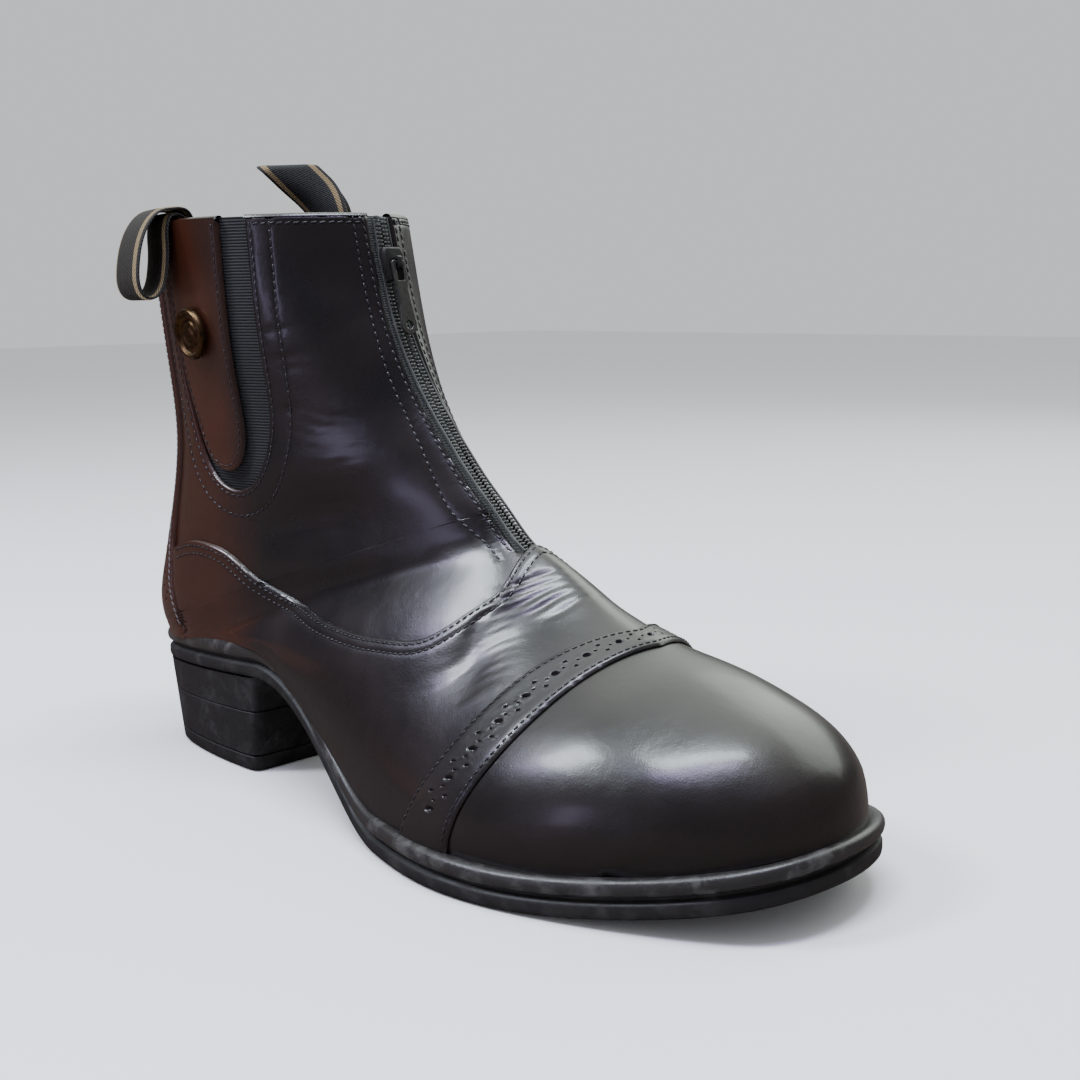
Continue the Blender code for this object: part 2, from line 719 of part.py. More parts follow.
def sewn_panels():
    """Vamp, toe cap and the brogued strip over their joint, and the strip up the back."""
    rear = across(STRIP_REAR, 10)
    front = across(STRIP_FRONT, 10)
    joint = (rear + front) / 2
    seam = across(VAMP_SEAM, 29)
    back = {side: trace(BACK_EDGE, side, 17) for side in (-1, 1)}
    front_edge = joint[::-1] - (CUT_GAP / LAST.scale[0], 0)
    outline = [seam[1:-1], vamp_side(back[1], 1), front_edge, vamp_side(back[-1], -1)[::-1]]
    panel("vamp", LEATHER, [np.vstack(outline)], GAP, GAP + OVERLAY)
    toe = np.vstack([joint, [(1, 1), (1, -1)]])
    panel("toe_cap", LEATHER, [toe], GAP, GAP + OVERLAY)
    lift = 2 * GAP + OVERLAY
    panel("toe_strip", LEATHER, [np.vstack([rear, front[::-1]])], lift, lift + TOE_STRIP)
    halves = [np.vstack([back[side], [(0, side)]]) for side in (-1, 1)]
    panel("back_strip", LEATHER, halves, GAP, GAP + BACK_STRIP)


def vamp_side(back, side):
    """The vamp's edge along the back strip, below the vamp's seam, kept clear of the strip."""
    clear = moved_line(back, -side * CUT_GAP * 3)
    clear[-1, 1] = side
    return clear[clear[:, 0] > VAMP_SEAM[-1].station + 0.001]


def zip_fastener():
    """The closed zip: its two tapes as one band and the chain of teeth on it."""
    top = -UPPER_WALL - CUT_GAP
    band = np.vstack([zip_edge(-1, TAPE_WIDTH, TAPE_END), zip_edge(1, TAPE_WIDTH, TAPE_END)[::-1]])
    panel("zip_tape", TAPE_CLOTH, [band], top - TAPE, top)
    chain = np.vstack([zip_edge(-1, CHAIN_WIDTH, CHAIN_END), zip_edge(1, CHAIN_WIDTH, CHAIN_END)[::-1]])
    panel("zip_chain", TEETH, [chain], -UPPER_WALL, -UPPER_WALL + CHAIN)


def plate(outline, holes):
    """Flat points and triangles of an outline with holes in it."""
    loops = [outline] + holes
    points = [Vector(point) for loop in loops for point in loop]
    edges = []
    for loop in loops:
        first = len(edges)
        edges += [(first + k, first + (k + 1) % len(loop)) for k in range(len(loop))]
    corners, _, faces, *_ = delaunay_2d_cdt(points, edges, [], 0, 1e-9)
    corners = np.array([tuple(corner) for corner in corners])
    faces = np.array(faces)
    a, b, c = (corners[faces[:, k]] for k in range(3))
    area = (b[:, 0] - a[:, 0]) * (c[:, 1] - a[:, 1]) - (b[:, 1] - a[:, 1]) * (c[:, 0] - a[:, 0])
    middle = (a + b + c) / 3
    keep = inside(middle, np.array(outline)) & (np.abs(area) > 1e-14)
    for hole in holes:
        keep &= ~inside(middle, np.array(hole))
    return corners, faces[keep]


def circle(radius, count, centre=(0.0, 0.0)):
    """Points round a circle."""
    turn = np.linspace(0, 2 * math.pi, count, endpoint=False)
    return np.stack([centre[0] + radius * np.cos(turn), centre[1] + radius * np.sin(turn)], 1)


def crest_frame(station):
    """A place on the crest's outer face, with the directions down the zip, across it and out from it."""
    here, below = LAST.at([(station, 0), (station + 0.03, 0)], 0.0)
    down = np.array([below[0] - here[0], 0, below[2] - here[2]])
    down /= np.linalg.norm(down)
    across_zip = np.array([0.0, 1.0, 0.0])
    return here, down, across_zip, np.cross(down, across_zip)


def placed(frame, points):
    """Points given down, across and out, put into a frame."""
    here, down, side, out = frame
    points = np.asarray(points, float)
    return here + points[:, :1] * down + points[:, 1:2] * side + points[:, 2:] * out


SLIDER_STATION = 0.052


def slider_levels():
    """Heights over the upper's face: the slider's lower and upper faces and the puller's axis."""
    low = CHAIN - UPPER_WALL + GAP
    top = low + SLIDER_HEIGHT
    return low, top, top + GAP + PULLER / 2


def zip_slider():
    """The slider: a bevelled body that narrows downwards, with a bridge over the puller's bar."""
    frame = crest_frame(SLIDER_STATION)
    low, top, axis = slider_levels()
    long, wide, edge = SLIDER_LENGTH / 2, SLIDER_WIDTH / 2, 0.0006
    rings = []
    for height, inset in ((low, 0), (top - edge, 0), (top, edge)):
        corners = (
            (-long + inset, -wide * 0.80 + inset),
            (-long * 0.55, -wide + inset),
            (long * 0.15, -wide * 0.86 + inset),
            (long - inset, -wide * 0.62 + inset),
        )
        outline = list(corners) + [(x, -y) for x, y in corners[::-1]]
        rings.append(placed(frame, [(x, y, height) for x, y in outline]))
    body = lofted("zip_slider", METAL, rings, one_face)
    reach = PULLER / 2 + GAP
    outer = reach + BRIDGE_BAR
    foot = top - edge / 2
    arch = [(-outer, foot), (-outer, axis + outer - 0.0005), (-outer + 0.0005, axis + outer)]
    arch += [(outer - 0.0005, axis + outer), (outer, axis + outer - 0.0005), (outer, foot)]
    arch += [(reach, foot), (reach, axis + reach), (-reach, axis + reach), (-reach, foot)]
    sides = [placed(frame, [(x, y, z) for x, z in arch]) for y in (-BRIDGE_WIDTH / 2, BRIDGE_WIDTH / 2)]
    bridge = lofted("bridge", METAL, sides, one_face)
    joined = body.modifiers.new("Bridge", "BOOLEAN")
    joined.operation = "UNION"
    joined.solver = "EXACT"
    joined.object = bridge
    bpy.context.view_layer.update()
    mesh = bpy.data.meshes.new_from_object(body.evaluated_get(bpy.context.evaluated_depsgraph_get()))
    body.modifiers.clear()
    body.data = mesh
    bpy.data.objects.remove(bridge)


def zip_puller():
    """The flat puller, hinged on its top bar under the slider's bridge, hanging down the zip."""
    here, down, side, out = crest_frame(SLIDER_STATION)
    axis = slider_levels()[2]
    bar = PULLER / 2
    arm = BRIDGE_WIDTH / 2 + CUT_GAP
    end = PULLER_LENGTH - bar
    wide = PULLER_WIDTH / 2
    rounded = [(end - wide + wide * math.sin(t), wide * math.cos(t)) for t in np.linspace(0, math.pi, 11)]
    left = [(-bar, arm + 0.0008), (-bar + 0.0004, arm + 0.0011), (0.0068, arm + 0.0011), (0.0088, wide * 0.62)]
    outline = left + rounded + [(x, -y) for x, y in left[::-1]]
    window = [(bar, -arm), (bar + 0.0052, -arm), (bar + 0.0052, arm), (bar, arm)]
    hole = [tuple(point) for point in circle(PULLER_HOLE / 2, 12, (end - wide, 0.0))]
    corners, triangles = plate(outline, [window, hole])
    count = len(corners)
    triangles = [tuple(int(k) for k in t) for t in triangles]
    edges = {(t[k], t[(k + 1) % 3]) for t in triangles for k in range(3)}
    faces = triangles + [tuple(k + count for k in t[::-1]) for t in triangles]
    faces += [(b, a, a + count, b + count) for a, b in edges if (b, a) not in edges]
    levels = [np.c_[corners, np.full(count, height)] for height in (bar, -bar)]
    points = placed((np.zeros(3), down, side, out), np.vstack(levels))
    piece = add_mesh("zip_puller", points, faces, METAL)
    outwards(piece.data)
    piece.location = here + axis * out


BUTTON_MARK = Mark(0.112, 0.540)


def button():
    """The round button on the leather tab: a raised rim, a dish and a domed middle on a short stem."""
    Turn = namedtuple("Turn", "radius height")
    turned = (
        Turn(0.48, 0.00),
        Turn(0.48, 0.22),
        Turn(0.93, 0.26),
        Turn(1.00, 0.42),
        Turn(1.00, 0.72),
        Turn(0.95, 0.92),
        Turn(0.87, 1.00),
        Turn(0.79, 0.92),
        Turn(0.73, 0.66),
        Turn(0.52, 0.62),
        Turn(0.45, 0.76),
        Turn(0.30, 0.88),
        Turn(0.12, 0.93),
    )
    mark = [(BUTTON_MARK.station, -BUTTON_MARK.girth)]
    out = LAST.read(LAST.outward, mark)[0]
    out /= np.linalg.norm(out)
    side = np.cross(out, (0, 0, 1))
    side /= np.linalg.norm(side)
    here = LAST.at(mark, TAB_LIFT)[0] + (GAP + SEAT_GAP) * out
    frame = (here, side, np.cross(out, side), out)
    rings = []
    for row in turned:
        plan = circle(row.radius * BUTTON_DIAMETER / 2, 22)
        rings.append(placed(frame, np.c_[plan, np.full(len(plan), row.height * BUTTON_HEIGHT)]))
    lofted("button", METAL, rings, one_face)


def rim_columns(girth, side, count=4):
    """Places across a loop on the collar's outer rim, with directions out from it and along it."""
    per = 1 / float(np.interp(0, LAST.stations, LAST.half_girth[:, 0 if side < 0 else 1]))
    across_loop = np.linspace(-0.5, 0.5, count) * WEBBING_WIDTH
    marks = [(0.0, side * (girth + distance * per)) for distance in across_loop]
    places = LAST.at(marks, 0.0)
    out = LAST.read(LAST.outward, marks)
    out[:, 2] = 0
    out /= np.linalg.norm(out, axis=1)[:, None]
    return places, out, across_loop


def band(name, finish, middles):
    """A flat strip of webbing whose middle face runs through rows of points, given along the strip."""
    middles = np.array(middles)
    along = np.gradient(middles, axis=0)
    width = np.gradient(middles, axis=1)
    face = np.cross(along, width)
    face /= np.linalg.norm(face, axis=2)[:, :, None]
    rings = []
    for row, normal in zip(middles, face):
        rings.append(np.vstack([row + normal * WEBBING / 2, (row - normal * WEBBING / 2)[::-1]]))

    def cross(size):
        half = size // 2
        return [(k, k + 1, size - k - 2, size - k - 1) for k in range(half - 1)]

    return lofted(name, finish, rings, cross)


def smooth_path(rows, count):
    """A smooth path through hand-placed rows, at even steps."""
    rows = np.array(rows, float)
    run = np.r_[0, np.cumsum(np.linalg.norm(np.diff(rows[:, :2], axis=0), axis=1))]
    where = np.linspace(0, run[-1], count)
    return np.stack([natural_spline(run, rows[:, k], where) for k in range(rows.shape[1])], 1)


def pull_loops():
    """The two webbing loops: the outer one folded down outside, the inner one standing up."""
    Step = namedtuple("Step", "out up")
    folded = (
        Step(-0.0053, -0.0120),
        Step(-0.0046, -0.0030),
        Step(-0.0040, 0.0006),
        Step(-0.0020, 0.0020),
        Step(0.0008, 0.0018),
        Step(0.0025, -0.0012),
        Step(0.0029, -0.0080),
        Step(0.0036, -0.0160),
        Step(0.0055, -0.0220),
        Step(0.0085, -0.0245),
        Step(0.0115, -0.0238),
        Step(0.0131, -0.0210),
        Step(0.0133, -0.0150),
        Step(0.0120, -0.0080),
        Step(0.0090, -0.0012),
        Step(0.0045, 0.0030),
        Step(0.0000, 0.0039),
        Step(-0.0042, 0.0036),
        Step(-0.0062, 0.0008),
        Step(-0.0063, -0.0040),
        Step(-0.0069, -0.0120),
    )
    places, out, _ = rim_columns(0.615, -1)
    path = smooth_path(folded, 34)
    rows = [places + step[0] * out + step[1] * np.array([0, 0, 1.0]) for step in path]
    band("pull_loop_lateral", WEB, rows)

    Lean = namedtuple("Lean", "out up along turn hug spread")
    standing = (
        Lean(-0.0056, -0.0120, 0.0000, 0, 1.0, 0.0009),
        Lean(-0.0052, -0.0060, 0.0000, 0, 1.0, 0.0009),
        Lean(-0.0048, 0.0000, 0.0000, 0, 1.0, 0.0009),
        Lean(-0.0056, 0.0060, 0.0018, 10, 0.5, 0.0012),
        Lean(-0.0072, 0.0115, 0.0055, 24, 0.1, 0.0017),
        Lean(-0.0094, 0.0160, 0.0095, 36, 0.0, 0.0023),
        Lean(-0.0118, 0.0195, 0.0130, 44, 0.0, 0.0026),
    )
    places, out, across_loop = rim_columns(0.605, 1)
    middle = len(places) // 2
    back = np.cross(out[middle], (0, 0, 1.0))
    back *= -np.sign(back[0])
    width = (places[-1] - places[0]) / np.linalg.norm(places[-1] - places[0])
    rows = []
    spreads = []
    for step in smooth_path([(row.up, *row) for row in standing], 11)[:, 1:]:
        turned = Matrix.Rotation(math.radians(step[3]), 3, "Z") @ Vector(width)
        straight = places[middle] + across_loop[:, None] * np.array(turned)
        blend = min(max(step[4], 0), 1)
        row = blend * places + (1 - blend) * straight
        leg = blend * out + (1 - blend) * out[middle]
        rows.append(row + step[0] * leg + np.array([0, 0, step[1]]) + step[2] * back)
        spreads.append(step[5])
    rows = np.array(rows)
    along = np.gradient(rows, axis=0)
    face = np.cross(along, np.gradient(rows, axis=1))
    face /= np.linalg.norm(face, axis=2)[:, :, None]
    face *= np.sign((face[0, middle] * out[middle]).sum())
    spread = np.array(spreads)[:, None, None]
    outer = rows + face * spread
    inner = rows - face * spread
    tip = along[-1] / np.linalg.norm(along[-1], axis=1)[:, None]
    fold = []
    for turn in np.linspace(0, math.pi, 7)[1:-1]:
        fold.append(rows[-1] + spreads[-1] * (math.cos(turn) * face[-1] + math.sin(turn) * tip))
    band("pull_loop_medial", WEB, list(outer) + fold + list(inner[::-1]))


TAB_LIFT = 0.0006
LEATHER = material("Black leather", (0.012, 0.010, 0.009), 0.30)
TAB_LEATHER = material("Tab leather", (0.016, 0.012, 0.010), 0.28)
LINING = material("Insole leather", (0.10, 0.085, 0.07), 0.7)
RUBBER = material("Black rubber", (0.014, 0.013, 0.013), 0.55)
RUBBER_EDGE = material("Black rubber edge", (0.018, 0.016, 0.015), 0.5)
WEB = material("Elastic and webbing", (0.017, 0.017, 0.019), 0.8)
TAPE_CLOTH = material("Zip tape", (0.012, 0.012, 0.014), 0.8)
TEETH = material("Zip teeth", (0.02, 0.02, 0.022), 0.4)
METAL = material("Metal", (0.62, 0.55, 0.42), 0.3, 1.0)

BOOT = bpy.data.collections.new("Paddock boot")
bpy.context.scene.collection.children.link(BOOT)
SOLE_REAR = bpy.data.objects.new("sole_rear", None)
SOLE_REAR.location.x = -(HEEL_PITCH + HEEL_LENGTH - BREAST_SLOPE) / 2
BOOT.objects.link(SOLE_REAR)

outsole()
welt()
insole()
heel()
upper()
elastics()
pull_tab()
sewn_panels()
zip_fastener()
zip_slider()
zip_puller()
button()
pull_loops()
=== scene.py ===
"""The paddock boot's looks: leather panels, stitches, zip, elastics, loops and sole.

Metres, in the model's own frame: the toe along +X, the foot's inner side along +Y, up +Z.
"""
import math
import random
from collections import namedtuple

import bmesh
import bpy
import numpy as np
from mathutils import Matrix, Vector
from mathutils.bvhtree import BVHTree
from mathutils.geometry import delaunay_2d_cdt
from mathutils.interpolate import poly_3d_calc
from mathutils.kdtree import KDTree


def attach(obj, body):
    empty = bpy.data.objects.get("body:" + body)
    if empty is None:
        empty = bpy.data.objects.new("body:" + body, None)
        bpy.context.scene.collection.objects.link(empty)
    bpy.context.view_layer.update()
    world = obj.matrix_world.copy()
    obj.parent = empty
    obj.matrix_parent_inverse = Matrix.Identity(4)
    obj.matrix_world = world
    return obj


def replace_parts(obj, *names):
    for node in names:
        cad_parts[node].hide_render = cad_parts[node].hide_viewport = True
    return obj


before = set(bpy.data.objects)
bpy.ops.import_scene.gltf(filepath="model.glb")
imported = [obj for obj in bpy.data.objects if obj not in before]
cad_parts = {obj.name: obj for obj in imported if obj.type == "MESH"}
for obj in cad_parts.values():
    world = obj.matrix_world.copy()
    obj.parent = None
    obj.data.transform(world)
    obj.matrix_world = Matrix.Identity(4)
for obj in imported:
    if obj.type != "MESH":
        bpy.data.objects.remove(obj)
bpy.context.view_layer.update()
random.seed(7)

# Driving sizes of the sole
SOLE_LENGTH = 0.290
BALL_WIDTH = 0.104
HEEL_HEIGHT = 0.0295
HEEL_LENGTH = 0.076
HEEL_PITCH = 0.005
BREAST_SLOPE = 0.004
SEAT_RISE = 0.005
TOP_PIECE = 0.005
OUTSOLE = 0.0062
WELT = 0.0046
WELT_WIDTH = 0.0105
TOE_SPRING = 0.012
TOE_SWING = 0.005
INSOLE = 0.003

# Driving sizes of the upper
BOOT_HEIGHT = 0.1840
LASTING_DEPTH = 0.010
UPPER_WALL = 0.0016
OVERLAY = 0.0013
BACK_STRIP = 0.0020
TOE_STRIP = 0.0011
ELASTIC = 0.0011
ZIP_OPENING = 0.0090
TAPE_WIDTH = 0.026

# Driving sizes of the fittings
BUTTON_DIAMETER = 0.0165
BUTTON_HEIGHT = 0.0034
WEBBING_WIDTH = 0.020
WEBBING = 0.0012

# Clearances
GAP = 0.0003
SEAT_GAP = 0.0007
CUT_GAP = 0.0005

# How finely the curved faces are cut
COLLAR_ROWS = 60
FOOT_ROWS = 96
GIRTH_ROWS = 64
SOLE_ROWS = 120

# Shares of the sole's length: where the arch comes down to the ball and where the toe spring starts
ARCH_START = 0.270
ARCH_END = 0.555
SPRING_START = 0.720

# Half widths of the sole as shares of the ball width, at even steps of its edge from heel to toe
Edge = namedtuple("Edge", "lateral medial")
SOLE_EDGE = (
    Edge(0.000, 0.000),
    Edge(0.183, 0.178),
    Edge(0.260, 0.288),
    Edge(0.290, 0.305),
    Edge(0.308, 0.306),
    Edge(0.412, 0.334),
    Edge(0.520, 0.430),
    Edge(0.470, 0.472),
    Edge(0.363, 0.420),
    Edge(0.230, 0.252),
    Edge(0.000, 0.000),
)

# Sections of the upper, each a slanted ring from a rear point to a front point. Rear and front are
# shares of the sole's length, low and high of the boot's height. Lateral and medial are half widths as
# shares of the ball width, widest is where they are reached from rear to front, crown and flank are how
# square the ring is before and behind that, and lean moves the crest inwards as a share of the ball width.
Ring = namedtuple("Ring", "name rear low front high lateral medial widest crown flank lean")
SHAFT_RINGS = (
    Ring("collar", 0.0590, 1.0000, 0.4030, 1.0030, 0.368, 0.335, 0.50, 1.80, 2.40, -0.014),
    Ring("shaft", 0.0635, 0.8700, 0.4170, 0.8890, 0.356, 0.341, 0.50, 1.75, 2.40, -0.005),
    Ring("calf", 0.0690, 0.7340, 0.4360, 0.7990, 0.336, 0.340, 0.48, 1.70, 2.40, 0.000),
    Ring("ankle", 0.0690, 0.5980, 0.4640, 0.7120, 0.313, 0.326, 0.44, 1.63, 2.45, 0.014),
    Ring("tendon", 0.0450, 0.4570, 0.5010, 0.6360, 0.300, 0.303, 0.38, 1.60, 2.50, 0.020),
    Ring("counter", 0.0170, 0.3300, 0.5400, 0.5680, 0.292, 0.288, 0.30, 1.58, 2.50, 0.024),
    Ring("heel", 0.0155, 0.2400, 0.5670, 0.5270, 0.288, 0.284, 0.26, 1.60, 2.60, 0.029),
)

# The foot's rings end below the sole's edge line, by depth as a share of the lasting depth
FootRing = namedtuple("FootRing", "name rear front high depth lateral medial widest crown flank lean")
FOOT_RINGS = (
    FootRing("seat", 0.0450, 0.5830, 0.4990, 0.80, 0.264, 0.284, 0.24, 1.65, 2.75, 0.034),
    FootRing("waist", 0.1210, 0.6020, 0.4710, 1.00, 0.280, 0.290, 0.24, 1.68, 3.10, 0.039),
    FootRing("shank", 0.2240, 0.6260, 0.4470, 1.00, 0.304, 0.310, 0.26, 1.70, 3.30, 0.045),
    FootRing("arch", 0.3280, 0.6560, 0.4170, 1.00, 0.336, 0.340, 0.28, 1.70, 3.40, 0.056),
    FootRing("joint", 0.4310, 0.6940, 0.3780, 1.00, 0.384, 0.376, 0.30, 1.75, 3.40, 0.066),
    FootRing("tread", 0.5340, 0.7370, 0.3460, 1.00, 0.448, 0.410, 0.30, 1.80, 3.40, 0.074),
    FootRing("ball", 0.6380, 0.7790, 0.3250, 1.00, 0.484, 0.432, 0.30, 1.85, 3.30, 0.075),
    FootRing("cap", 0.7210, 0.8310, 0.3070, 0.90, 0.468, 0.440, 0.30, 1.95, 3.05, 0.068),
    FootRing("toe", 0.7720, 0.8830, 0.2800, 0.70, 0.436, 0.427, 0.28, 2.05, 2.90, 0.065),
    FootRing("toe_box", 0.7960, 0.9270, 0.2500, 0.50, 0.408, 0.417, 0.24, 2.10, 2.70, 0.061),
    FootRing("toe_front", 0.8070, 0.9590, 0.2110, 0.30, 0.390, 0.412, 0.18, 2.10, 2.45, 0.058),
    FootRing("toe_foot", 0.8100, 0.9780, 0.1710, 0.15, 0.376, 0.410, 0.10, 2.05, 2.30, 0.052),
    FootRing("toe_line", 0.8100, 0.9830, 0.1300, 0.05, 0.368, 0.410, 0.04, 2.05, 2.20, 0.048),
)

# Lines drawn on the upper: station runs from the collar (0) to the toe's edge (1) down the crest, and
# girth from the crest (0) to the middle of the back or the sole's edge (1), on either side
Mark = namedtuple("Mark", "station girth")


def natural_spline(knots, values, at):
    """Values of a natural cubic spline through the knots."""
    knots = np.asarray(knots, float)
    values = np.asarray(values, float)
    at = np.asarray(at, float)
    step = np.diff(knots)
    slope = np.diff(values) / step
    system = np.eye(len(knots))
    right = np.zeros(len(knots))
    for i in range(1, len(knots) - 1):
        system[i, i - 1 : i + 2] = step[i - 1], 2 * (step[i - 1] + step[i]), step[i]
        right[i] = 6 * (slope[i] - slope[i - 1])
    bend = np.linalg.solve(system, right)
    i = np.clip(np.searchsorted(knots, at) - 1, 0, len(knots) - 2)
    before = at - knots[i]
    after = knots[i + 1] - at
    curve = (bend[i] * after**3 + bend[i + 1] * before**3) / (6 * step[i])
    low = (values[i] / step[i] - bend[i] * step[i] / 6) * after
    high = (values[i + 1] / step[i] - bend[i + 1] * step[i] / 6) * before
    return curve + low + high


def run_along(points):
    """The distance run along a line at each of its points."""
    return np.r_[0, np.cumsum(np.linalg.norm(np.diff(points, axis=0), axis=1))]


def normed(rows):
    """Rows of directions, each made 1 long."""
    return rows / np.linalg.norm(rows, axis=-1, keepdims=True)


def line_between(start, end, count):
    """Marks evenly along the straight line between two."""
    return np.stack([np.linspace(start[k], end[k], count) for k in range(2)], 1)


def ring_faces(rings, size, first=0):
    """Faces between rings of points that follow each other, each of the same size."""
    faces = []
    for a in range(first, first + (rings - 1) * size, size):
        for k in range(size):
            after = (k + 1) % size
            faces.append((a + k, a + after, a + size + after, a + size + k))
    return faces


def ease(start, end, x):
    """Rises smoothly from 0 at the start to 1 at the end."""
    t = np.clip((x - start) / (end - start), 0, 1)
    return t * t * (3 - 2 * t)


def underside(x):
    """Height of the outsole's lower face: over the heel, level under the ball, up again at the toe."""
    start = ARCH_START * SOLE_LENGTH
    seat = HEEL_HEIGHT + SEAT_RISE * np.minimum(x / start, 1)
    spring = SPRING_START * SOLE_LENGTH
    toe = np.clip((x - spring) / (SOLE_LENGTH - spring), 0, 1) ** 1.8
    return seat * (1 - ease(start, ARCH_END * SOLE_LENGTH, x)) + TOE_SPRING * toe


def sole_top(x):
    """Height of the outsole's upper face."""
    return underside(x) + OUTSOLE


def edge_line(x):
    """Height of the welt's upper face, where the upper meets the sole."""
    return sole_top(x) + GAP + WELT


def swing(x):
    """How far the sole's middle line swings towards the inner side."""
    return TOE_SWING * np.clip(2 * x / SOLE_LENGTH - 1, 0, 1) ** 1.5


def sole_edge(side, share):
    """Plan of the sole's edge at shares of its steps, on side -1 (lateral) or 1 (medial)."""
    knots = np.linspace(0, 1, len(SOLE_EDGE))
    half = [row.lateral if side < 0 else row.medial for row in SOLE_EDGE]
    x = SOLE_LENGTH * (1 - np.cos(math.pi * share)) / 2
    return x, side * BALL_WIDTH * natural_spline(knots, half, share) + swing(x)


def sole_plan(inset):
    """Plan points of the sole's edge moved inwards: lateral from heel to toe, then medial back."""
    share = np.linspace(0, 1, SOLE_ROWS + 1)
    lateral = np.stack(sole_edge(-1, share), 1)
    medial = np.stack(sole_edge(1, share), 1)[-2:0:-1]
    plan = np.vstack([lateral, medial])
    along = np.roll(plan, -1, 0) - np.roll(plan, 1, 0)
    inward = np.stack([-along[:, 1], along[:, 0]], 1) / np.linalg.norm(along, axis=1)[:, None]
    return plan + inset * inward


def ring_table():
    """All rings in metres: rear x and z, front x and z, half widths, widest, crown, flank and lean."""
    rows = []
    for r in SHAFT_RINGS + FOOT_RINGS:
        rear = r.rear * SOLE_LENGTH
        if isinstance(r, Ring):
            low = r.low * BOOT_HEIGHT
        else:
            low = float(edge_line(rear)) - r.depth * LASTING_DEPTH
        ends = [rear, low, r.front * SOLE_LENGTH, r.high * BOOT_HEIGHT]
        widths = [r.lateral * BALL_WIDTH, r.medial * BALL_WIDTH]
        rows.append(ends + widths + [r.widest, r.crown, r.flank, r.lean * BALL_WIDTH])
    return np.array(rows)


def ring_arc(table, knots, station, side, points=160):
    """One side of the ring at a station, from the crest down and round to the rear or the underside."""
    columns = [float(natural_spline(knots, table[:, k], station)) for k in range(table.shape[1])]
    rear, low, front, high, lateral, medial, widest, crown, flank, lean = columns
    half = lateral if side < 0 else medial
    turn = np.linspace(0, math.pi / 2, points // 2)
    width = np.r_[half * np.sin(turn) ** (2 / crown), half * np.cos(turn[1:]) ** (2 / flank)]
    before = widest + (1 - widest) * np.cos(turn) ** (2 / crown)
    behind = widest * (1 - np.sin(turn[1:]) ** (2 / flank))
    forward = np.r_[before, behind]
    middle = swing(rear) * (1 - forward) + lean * forward
    x = rear + (front - rear) * forward
    return np.stack([x, middle + side * width, low + (high - low) * forward], 1)


def cut_at_sole(arc):
    """The arc's part above the sole's edge line, and whether it reaches that line."""
    height = arc[:, 2] - edge_line(arc[:, 0]) - SEAT_GAP
    below = np.flatnonzero(height < 0)
    if not len(below) or below[0] == 0:
        return arc, False
    i = below[0]
    share = height[i - 1] / (height[i - 1] - height[i])
    return np.vstack([arc[:i], arc[i - 1] + share * (arc[i] - arc[i - 1])]), True


def spaced(line, shares):
    """Points at shares of a line's length."""
    run = run_along(line)
    return np.stack([np.interp(shares * run[-1], run, line[:, k]) for k in range(line.shape[1])], 1)


